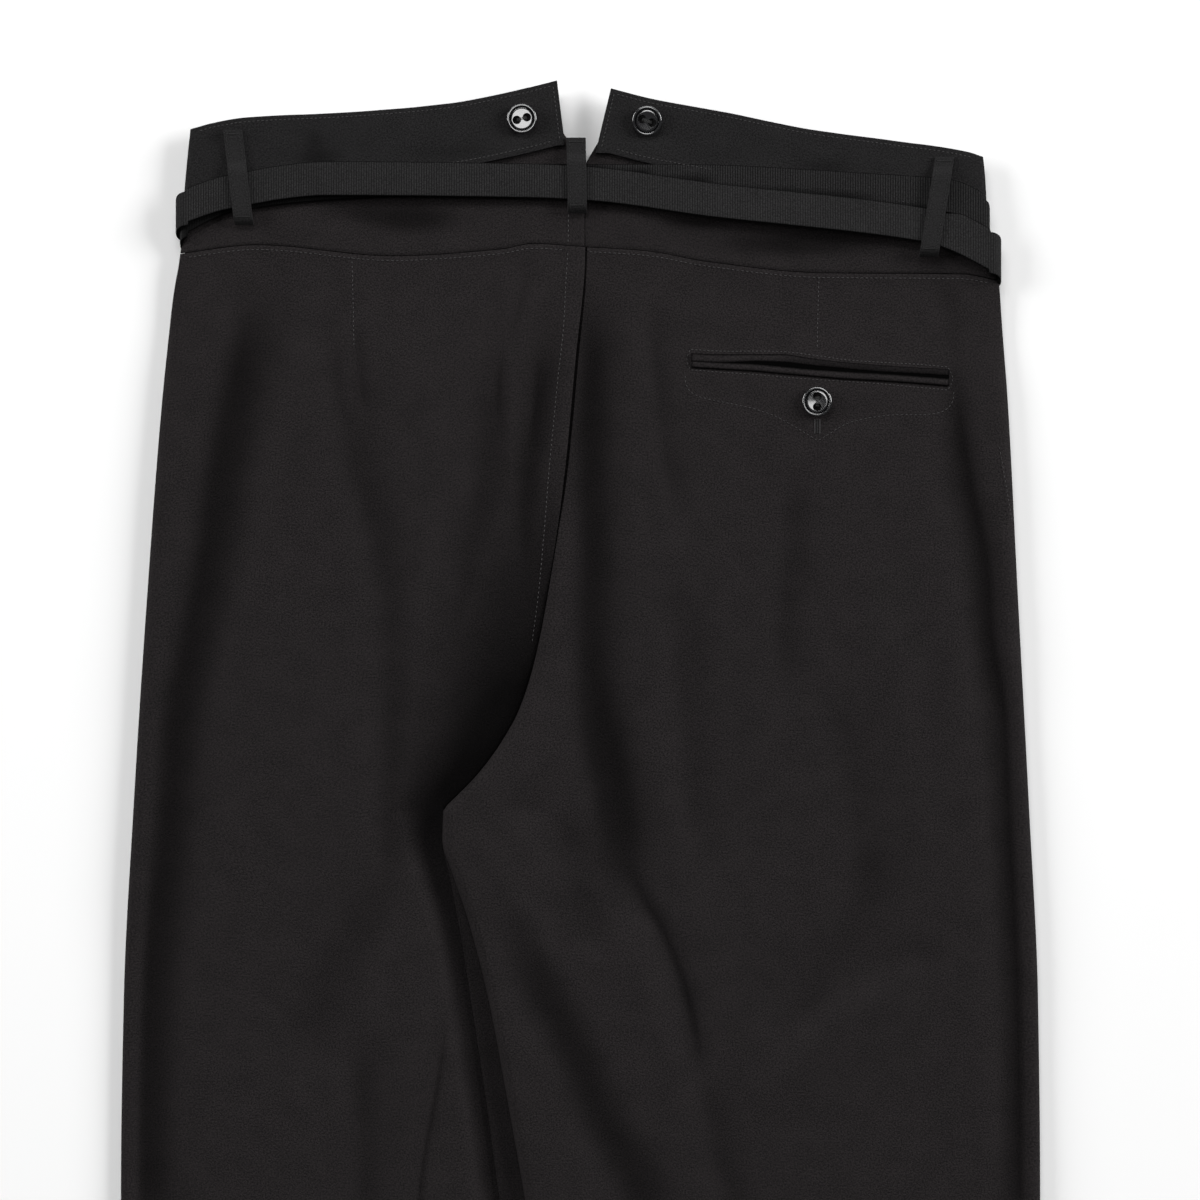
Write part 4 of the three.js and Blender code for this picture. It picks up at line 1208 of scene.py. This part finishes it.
# Pocket welts, each between two columns of the pocket's lines
def welt_points(top_column, bottom_column, lip_column=None):
    """A rounded welt, with a flat lip that lines the slit, and its painted shade on the lip, the outlines,
    the ends and the right part.
    """
    x = np.linspace(WELT_LEFT, WELT_RIGHT, 110)[None, :]
    top, bottom = curve_at(POCKET_LINES, x, top_column), curve_at(POCKET_LINES, x, bottom_column)
    across = np.array([0, 0.06, 0.13, 0.2, 0.3, 0.42, 0.58, 0.7, 0.8, 0.87, 0.94, 1])[:, None]
    dome = 0.5 * np.sqrt(np.clip(1 - (2 * across - 1) ** 2, 0, 1))
    down = mix(top, bottom, across)
    shade = 0.95 * (1 - ease(np.minimum(across, 1 - across) / 0.27)) + 0 * x
    rise = WELT_CLEARANCE - 0.3 + dome + 0 * x
    if lip_column:
        lip = np.array([0.12, 0.4, 0.7, 1])[:, None]
        down = np.concatenate([down, mix(bottom, curve_at(POCKET_LINES, x, lip_column), lip)])
        rise = np.concatenate([rise, 0.04 + 0 * lip * x])
        shade = np.concatenate([np.maximum(shade, 0.5 * ease((x - 95) / 30)), 1 + 0 * lip * x])
    ends = 1 - ease(np.minimum(x - WELT_LEFT, WELT_RIGHT - x) / 1.2)
    x = x + 0 * down
    return (x, down, right_back_height(x, down) + CLOTH + rise), np.maximum(shade, 0.8 * ends)


for name, columns in (("upper", (2, 3, 4)), ("lower", (4, 5))):
    welt, welt_shade = welt_points(*columns)
    cloth_piece(f"pocket_{name}_welt", f"pocket_welt_{name}", welt, CLOTH * 0.8, welt_cloth,
                rounded=0.2, painted_shade=welt_shade)


# Thread: how thick a stitch and a bar tack are, and how high their middle lies above the cloth
STITCH_HEIGHT = 0.4
STITCH_LIFT = 0.08
TACK_HEIGHT = 0.5
TACK_LIFT = 0.12


def left_leg_top(x, down):
    return left_back_height(x, down) + CLOTH


def right_leg_top(x, down):
    return right_back_height(x, down) + CLOTH


def yoke_top(x, down):
    return yoke_height(x, down) + CLOTH


def band_face(x, down):
    return band_height(x, down) + BAND


def spaced_line(points, pitch, smooth=True):
    """Points at an even pitch along a line through a few given ones."""
    points = np.array(points, float)
    if smooth and len(points) > 2:
        points = smooth_path(points, 40 * len(points))
    knots = np.concatenate([[0], np.cumsum(np.hypot(*np.diff(points, axis=0).T))])
    count = max(1, round(knots[-1] / pitch))
    at = np.linspace(0, knots[-1], count + 1)
    return np.stack([np.interp(at, knots, points[:, k]) for k in range(2)], axis=1)


def lay_beads(sewing, starts, ends, surface, width, height, lift):
    """Grains of thread between pairs of points (x, depth) on a surface."""
    places = []
    for points in (starts, ends):
        z = surface(points[:, 0], points[:, 1]) + lift
        places.append([place(x, down, top) for (x, down), top in zip(points, z)])
    for start, end in zip(*places):
        sewing.append((start, end, width, height))


def stitch_line(sewing, points, surface, pitch=2.5, width=0.42, share=0.62, smooth=True):
    """Stitches of one seam, each lying on the cloth and sunk a little into it."""
    line = spaced_line(points, pitch, smooth)
    starts = mix(line[:-1], line[1:], (1 - share) / 2)
    ends = mix(line[:-1], line[1:], (1 + share) / 2)
    lay_beads(sewing, starts, ends, surface, width, STITCH_HEIGHT, STITCH_LIFT)


def bar_tack(sewing, start, end, surface, reach=1.3, pitch=0.55, width=0.5):
    """A dense bar of thread that locks the end of a seam."""
    line = spaced_line([start, end], pitch, smooth=False)
    run = (np.array(end, float) - start) / np.hypot(*(np.array(end, float) - start))
    across = np.array([-run[1], run[0]]) * reach / 2
    lay_beads(sewing, line - across, line + across, surface, width, TACK_HEIGHT, TACK_LIFT)


def thread_object(name, sewing, material, stem=None):
    """One object of all grains of thread, each a small sphere drawn out between its two ends."""
    grain = bmesh.new()
    bmesh.ops.create_uvsphere(grain, u_segments=6, v_segments=4, radius=1)
    ball = np.array([vert.co[:] for vert in grain.verts])
    grain_mesh = bpy.data.meshes.new("grain")
    grain.to_mesh(grain_mesh)
    grain.free()
    bm = bmesh.new()
    for _ in sewing:
        bm.from_mesh(grain_mesh)
    if stem is not None:
        bmesh.ops.create_cone(bm, cap_ends=True, segments=16, radius1=STEM_RADIUS * MM,
                              radius2=STEM_RADIUS * MM, depth=STEM_HEIGHT * MM, matrix=stem)
    piece = object_from(bm, name)
    mesh = piece.data
    starts = np.array([start[:] for start, _, _, _ in sewing])
    ends = np.array([end[:] for _, end, _, _ in sewing])
    sizes = np.array([(width, height) for _, _, width, height in sewing]) * MM / 2
    run = (ends - starts) / 2
    side = np.cross([0, 0, 1], run)
    side /= np.linalg.norm(side, axis=1)[:, None]
    up = np.cross(run, side)
    up /= np.linalg.norm(up, axis=1)[:, None]
    shape = ball[None, :, 0, None] * run[:, None] + (starts + ends)[:, None] / 2
    shape = shape + ball[None, :, 1, None] * (side * sizes[:, :1])[:, None]
    shape = shape + ball[None, :, 2, None] * (up * sizes[:, 1:])[:, None]
    corners = np.empty(3 * len(mesh.vertices), np.float32)
    mesh.vertices.foreach_get("co", corners)
    corners[:shape.size] = shape.ravel()
    mesh.vertices.foreach_set("co", corners)
    mesh.shade_smooth()
    mesh.update()
    mesh.materials.append(material)
    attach(piece, "root")
    return piece


def beside_edge(edge, xs, inset):
    return [(x, float(edge(x)) + inset) for x in xs]


# Sewing of the back waistband
band_sewing = []
for xs, slant, top in (
    (np.linspace(-198, -15.2, 30), NOTCH_LEFT, 0.0),
    (np.linspace(18.6, 203, 30), NOTCH_RIGHT, BAND_TOP_RIGHT[0][1]),
):
    inward = -2.4 if slant is NOTCH_LEFT else 2.4
    stitch_line(band_sewing, beside_edge(band_top, xs, 2.3), band_face, pitch=2.3)
    stitch_line(band_sewing, beside_edge(band_top, xs, BAND_HEIGHT - 3), band_face, pitch=2.3)
    end_line = band_end(slant, top)
    stitch_line(band_sewing, [(float(end_line(d)) + inward, d) for d in (top + 3, top + BAND_HEIGHT - 3)],
                band_face, pitch=2.3, smooth=False)
thread_object("waistband_stitches", band_sewing, thread)

# Sewing of the back legs, the yoke and the seat seam: points along each line of stitches
TOPSTITCH_LEFT_OF_SEAM = [
    (-7.5, 103.5), (-9.1, 131.6), (-11.7, 154.4), (-13.8, 176.3), (-16.2, 201.2), (-19.2, 238), (-22.4, 271),
    (-25.2, 292),
]
LEFT_DART = [(-118.8, 91), (-118.2, 115), (-117.8, 138)]
RIGHT_DART = [(124, 101.5), (123.4, 120), (123, 139)]
POCKET_WING_LEFT = [
    (54.3, 152.9), (55.2, 159), (57.5, 162.2), (60.6, 163.8), (73.1, 166.9), (90.2, 170.6), (100.6, 174.2),
    (109.5, 178.9), (115.7, 182.5), (123.2, 187.2),
]
POCKET_WING_RIGHT = [
    (123.2, 187.2), (129.2, 183.6), (137, 178.9), (147.4, 175.8), (163.5, 173.7), (182.3, 173.2),
    (189, 171.6), (193.2, 167.4), (194.2, 161.2),
]
leg_sewing = []
stitch_line(leg_sewing, beside_edge(yoke_seam, np.linspace(-204, -9, 30), 2.5), left_leg_top)
stitch_line(leg_sewing, beside_edge(yoke_seam, np.linspace(4, 212, 30), 2.5), right_leg_top)
stitch_line(leg_sewing, [(-6.2, 69), (-6.3, 78), (-6.5, 84.5)], yoke_top)
stitch_line(leg_sewing, [(-6.6, 89), (-7, 96)] + TOPSTITCH_LEFT_OF_SEAM, left_leg_top)
stitch_line(leg_sewing, LEFT_DART, left_leg_top, pitch=2.4)
stitch_line(leg_sewing, RIGHT_DART, right_leg_top, pitch=2.4)
upper_row = [(row[0], row[1]) for row in POCKET_LINES]
lower_row = [(row[0], row[-1]) for row in POCKET_LINES]
left_end = [upper_row[0], (55.2, 145), lower_row[0]]
right_end = [upper_row[-1], (193.6, 155), lower_row[-1]]
for line in (upper_row, lower_row, left_end, right_end):
    stitch_line(leg_sewing, line, right_leg_top, pitch=2.1)
for line in (POCKET_WING_LEFT, POCKET_WING_RIGHT):
    stitch_line(leg_sewing, line, right_leg_top, pitch=2.4, width=0.36)
for x in (121.7, 124.3):
    bar_tack(leg_sewing, (x, 176.2), (x, 183.2), right_leg_top, reach=0.8)
stitch_line(leg_sewing, [(217.5, 190), (220.6, 208), (224.2, 229)], right_leg_top, pitch=2.4, width=0.24)
for xs, surface in ((np.linspace(-216, -14, 12), left_leg_top), (np.linspace(16, 217, 12), right_leg_top)):
    stitch_line(leg_sewing, [(x, LENGTH - HEM_HEIGHT) for x in xs], surface, pitch=3.2)
thread_object("leg_stitches", leg_sewing, thread)
# A near-black bar between the bar tacks: painted shade standing in for the open cut of the buttonhole
slit = []
bar_tack(slit, (123, 176.4), (123, 183), right_leg_top, reach=1.2, pitch=0.7, width=1.0)
thread_object("buttonhole_painted_shade", slit, plain_material("painted buttonhole shade", (0.002, 0.002, 0.002), 0.9))

# Sewing of the belt loops
loop_sewing = []
for loop in BELT_LOOPS:
    _, top_x, top, bottom_x, _ = loop
    stops = back_loop_stops(loop)
    bottom = stops[-1][0]

    def loop_top(x, down, stops=stops):
        return path_height(stops, np.asarray(down)) + LOOP

    for side in (-1, 1):
        edge = side * (LOOP_WIDTH / 2 - 1.6)
        ends = [(top_x + edge, top + 1.5), (bottom_x + edge, bottom - 1.5)]
        stitch_line(loop_sewing, ends, loop_top, pitch=1.7, width=0.2)
    for depth in (top + 2.2, bottom - 3.2):
        x = mix(top_x, bottom_x, (depth - top) / (bottom - top))
        bar_tack(loop_sewing, (x - 3.6, depth), (x + 3.6, depth), loop_top, reach=0.9, width=0.3)
thread_object("belt_loop_stitches", loop_sewing, loop_thread)


# Half outline of a turned button, from under its middle round the rim to its dished face: radius and height
BUTTON_PROFILE = [
    (0, 0), (5.6, 0), (6.9, 0.2), (7.55, 0.7), (7.8, 1.4), (7.76, 2.1), (7.62, 2.52), (7.42, 2.72),
    (7.2, 2.78), (6.5, 2.78), (6.42, 2.74), (6.36, 2.0), (6.02, 1.2), (5.7, 1.7), (5.64, 1.88),
    (5.5, 1.93), (4.6, 1.9), (3.2, 1.85), (1.6, 1.81), (0, 1.8),
]
HOLE_SPACING = 5.4
HOLE_RADIUS_BELOW = 1.9
HOLE_RADIUS_ABOVE = 2.4

# The strands through the holes: distance along the line of the holes and height, and each strand's offset
STRAND_PATH = [(-2.7, 0.7), (-1.8, 1.85), (0, 2.15), (1.8, 1.85), (2.7, 0.7)]
STRAND_OFFSETS = (-0.5, 0.0, 0.5)
STRAND_WIDTH = 0.5
STRAND_HEIGHT = 0.46

# The stem of thread that a button stands on, and how high it stands on the waistband and on the leg
STEM_RADIUS = 2.9
STEM_HEIGHT = 0.8
STEM_MIDDLE = -0.35
BAND_BUTTON_RISE = 0.9
LEG_BUTTON_RISE = 1.0


def cut_hole(body, side):
    """Cuts one of the two holes, which is a little wider at the top, through a button."""
    cut = bmesh.new()
    middle = Matrix.Translation((side * HOLE_SPACING / 2 * MM, 0, 1.2 * MM))
    bmesh.ops.create_cone(cut, cap_ends=True, segments=32, radius1=HOLE_RADIUS_BELOW * MM,
                          radius2=HOLE_RADIUS_ABOVE * MM, depth=4.4 * MM, matrix=middle)
    cutter = object_from(cut, "hole_cutter")
    hole = body.modifiers.new("hole", "BOOLEAN")
    hole.operation = "DIFFERENCE"
    hole.solver = "EXACT"
    hole.object = cutter
    bpy.context.view_layer.update()
    cut_body = bpy.data.meshes.new_from_object(body.evaluated_get(bpy.context.evaluated_depsgraph_get()))
    body.modifiers.clear()
    body.data = cut_body
    bpy.data.objects.remove(cutter)


def button_object(name, node, x, down, seat, turn, tilt):
    """A turned button with two holes, sewn on with a few strands and a short stem of thread."""
    bm = bmesh.new()
    outline = [bm.verts.new((radius * MM, 0, height * MM)) for radius, height in BUTTON_PROFILE]
    edges = [bm.edges.new(pair) for pair in zip(outline, outline[1:])]
    bmesh.ops.spin(bm, geom=outline + edges, cent=(0, 0, 0), axis=(0, 0, 1), angle=2 * math.pi, steps=72,
                   use_merge=True)
    bmesh.ops.remove_doubles(bm, verts=bm.verts, dist=0.00001)
    bmesh.ops.recalc_face_normals(bm, faces=bm.faces)
    body = object_from(bm, name)
    for side in (-1, 1):
        cut_hole(body, side)
    lean = Matrix.Rotation(math.radians(tilt[0]), 4, "X") @ Matrix.Rotation(math.radians(tilt[1]), 4, "Y")
    stand = Matrix.Translation(place(x, down, seat)) @ lean @ Matrix.Rotation(math.radians(turn), 4, "Z")
    body.data.transform(stand)
    body.data.materials.clear()
    body.data.materials.append(button_plastic)
    body.data.set_sharp_from_angle(angle=math.radians(38))
    for polygon in body.data.polygons:
        polygon.use_smooth = True
    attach(body, "root")
    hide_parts(node)
    strands = []
    for offset in STRAND_OFFSETS:
        bends = [stand @ Vector((along * MM, offset * MM, height * MM)) for along, height in STRAND_PATH]
        strands += [(start, end, STRAND_WIDTH, STRAND_HEIGHT) for start, end in zip(bends, bends[1:])]
    thread_object(f"{name}_thread", strands, button_thread,
                  stem=stand @ Matrix.Translation((0, 0, STEM_MIDDLE * MM)))
    return body


button_thread = plain_material("button thread", (0.012, 0.012, 0.012), 0.7)
band_seat = BACK_BAND_Z + BAND + BAND_BUTTON_RISE
for name, x, down, turn, tilt in BRACE_BUTTONS:
    button_object(f"{name}_turned", name, x, down, band_seat, turn, tilt)
name, x, down, turn, tilt = POCKET_BUTTON
pocket_seat = float(right_leg_top(np.array([x]), np.array([down]))[0]) + LEG_BUTTON_RISE
button_object(f"{name}_turned", name, x, down, pocket_seat, turn, tilt)

# Floor, light and camera: sizes in metres, and the lens in millimetres
FLOOR_REACH = 4
FLOOR_DROP = 0.0004
CAMERA_LENS = 120
CAMERA_PLACE = (0.01014, 0.28712, 2.086)
floor_build = bmesh.new()
bmesh.ops.create_grid(floor_build, x_segments=1, y_segments=1, size=FLOOR_REACH)
bmesh.ops.translate(floor_build, verts=floor_build.verts, vec=(0, 0, -FLOOR_DROP))
floor = object_from(floor_build, "floor")
floor.data.materials.append(plain_material("white floor", (0.83, 0.83, 0.83), 0.9))


def area_light(name, location, target, size, power):
    data = bpy.data.lights.new(name, "AREA")
    data.shape = "RECTANGLE"
    data.size, data.size_y = size
    data.energy = power
    lamp = bpy.data.objects.new(name, data)
    lamp.location = location
    lamp.rotation_euler = (Vector(target) - Vector(location)).to_track_quat("-Z", "Y").to_euler()
    bpy.context.scene.collection.objects.link(lamp)
    return lamp


area_light("right_light", (4.8, 2.0, 2.1), (0, 0.25, 0), (3.0, 2.4), 380)
area_light("left_light", (-4.8, 1.8, 2.0), (0, 0.25, 0), (3.0, 2.4), 255)
area_light("top_light", (-0.6, 3.6, 3.6), (0, 0.25, 0), (3.4, 1.2), 110)
area_light("button_light", (-0.08, 0.86, 2.5), (0, 0.4, 0), (0.6, 0.6), 7)

world = bpy.data.worlds.new("studio")
world.use_nodes = True
world.node_tree.nodes["Background"].inputs["Color"].default_value = (1, 1, 1, 1)
world.node_tree.nodes["Background"].inputs["Strength"].default_value = 0.07
bpy.context.scene.world = world
bpy.context.scene.view_settings.view_transform = "Standard"

camera_data = bpy.data.cameras.new("camera")
camera_data.lens = CAMERA_LENS
camera_data.sensor_width = 36
camera = bpy.data.objects.new("camera", camera_data)
camera.location = CAMERA_PLACE
bpy.context.scene.collection.objects.link(camera)
bpy.context.scene.camera = camera
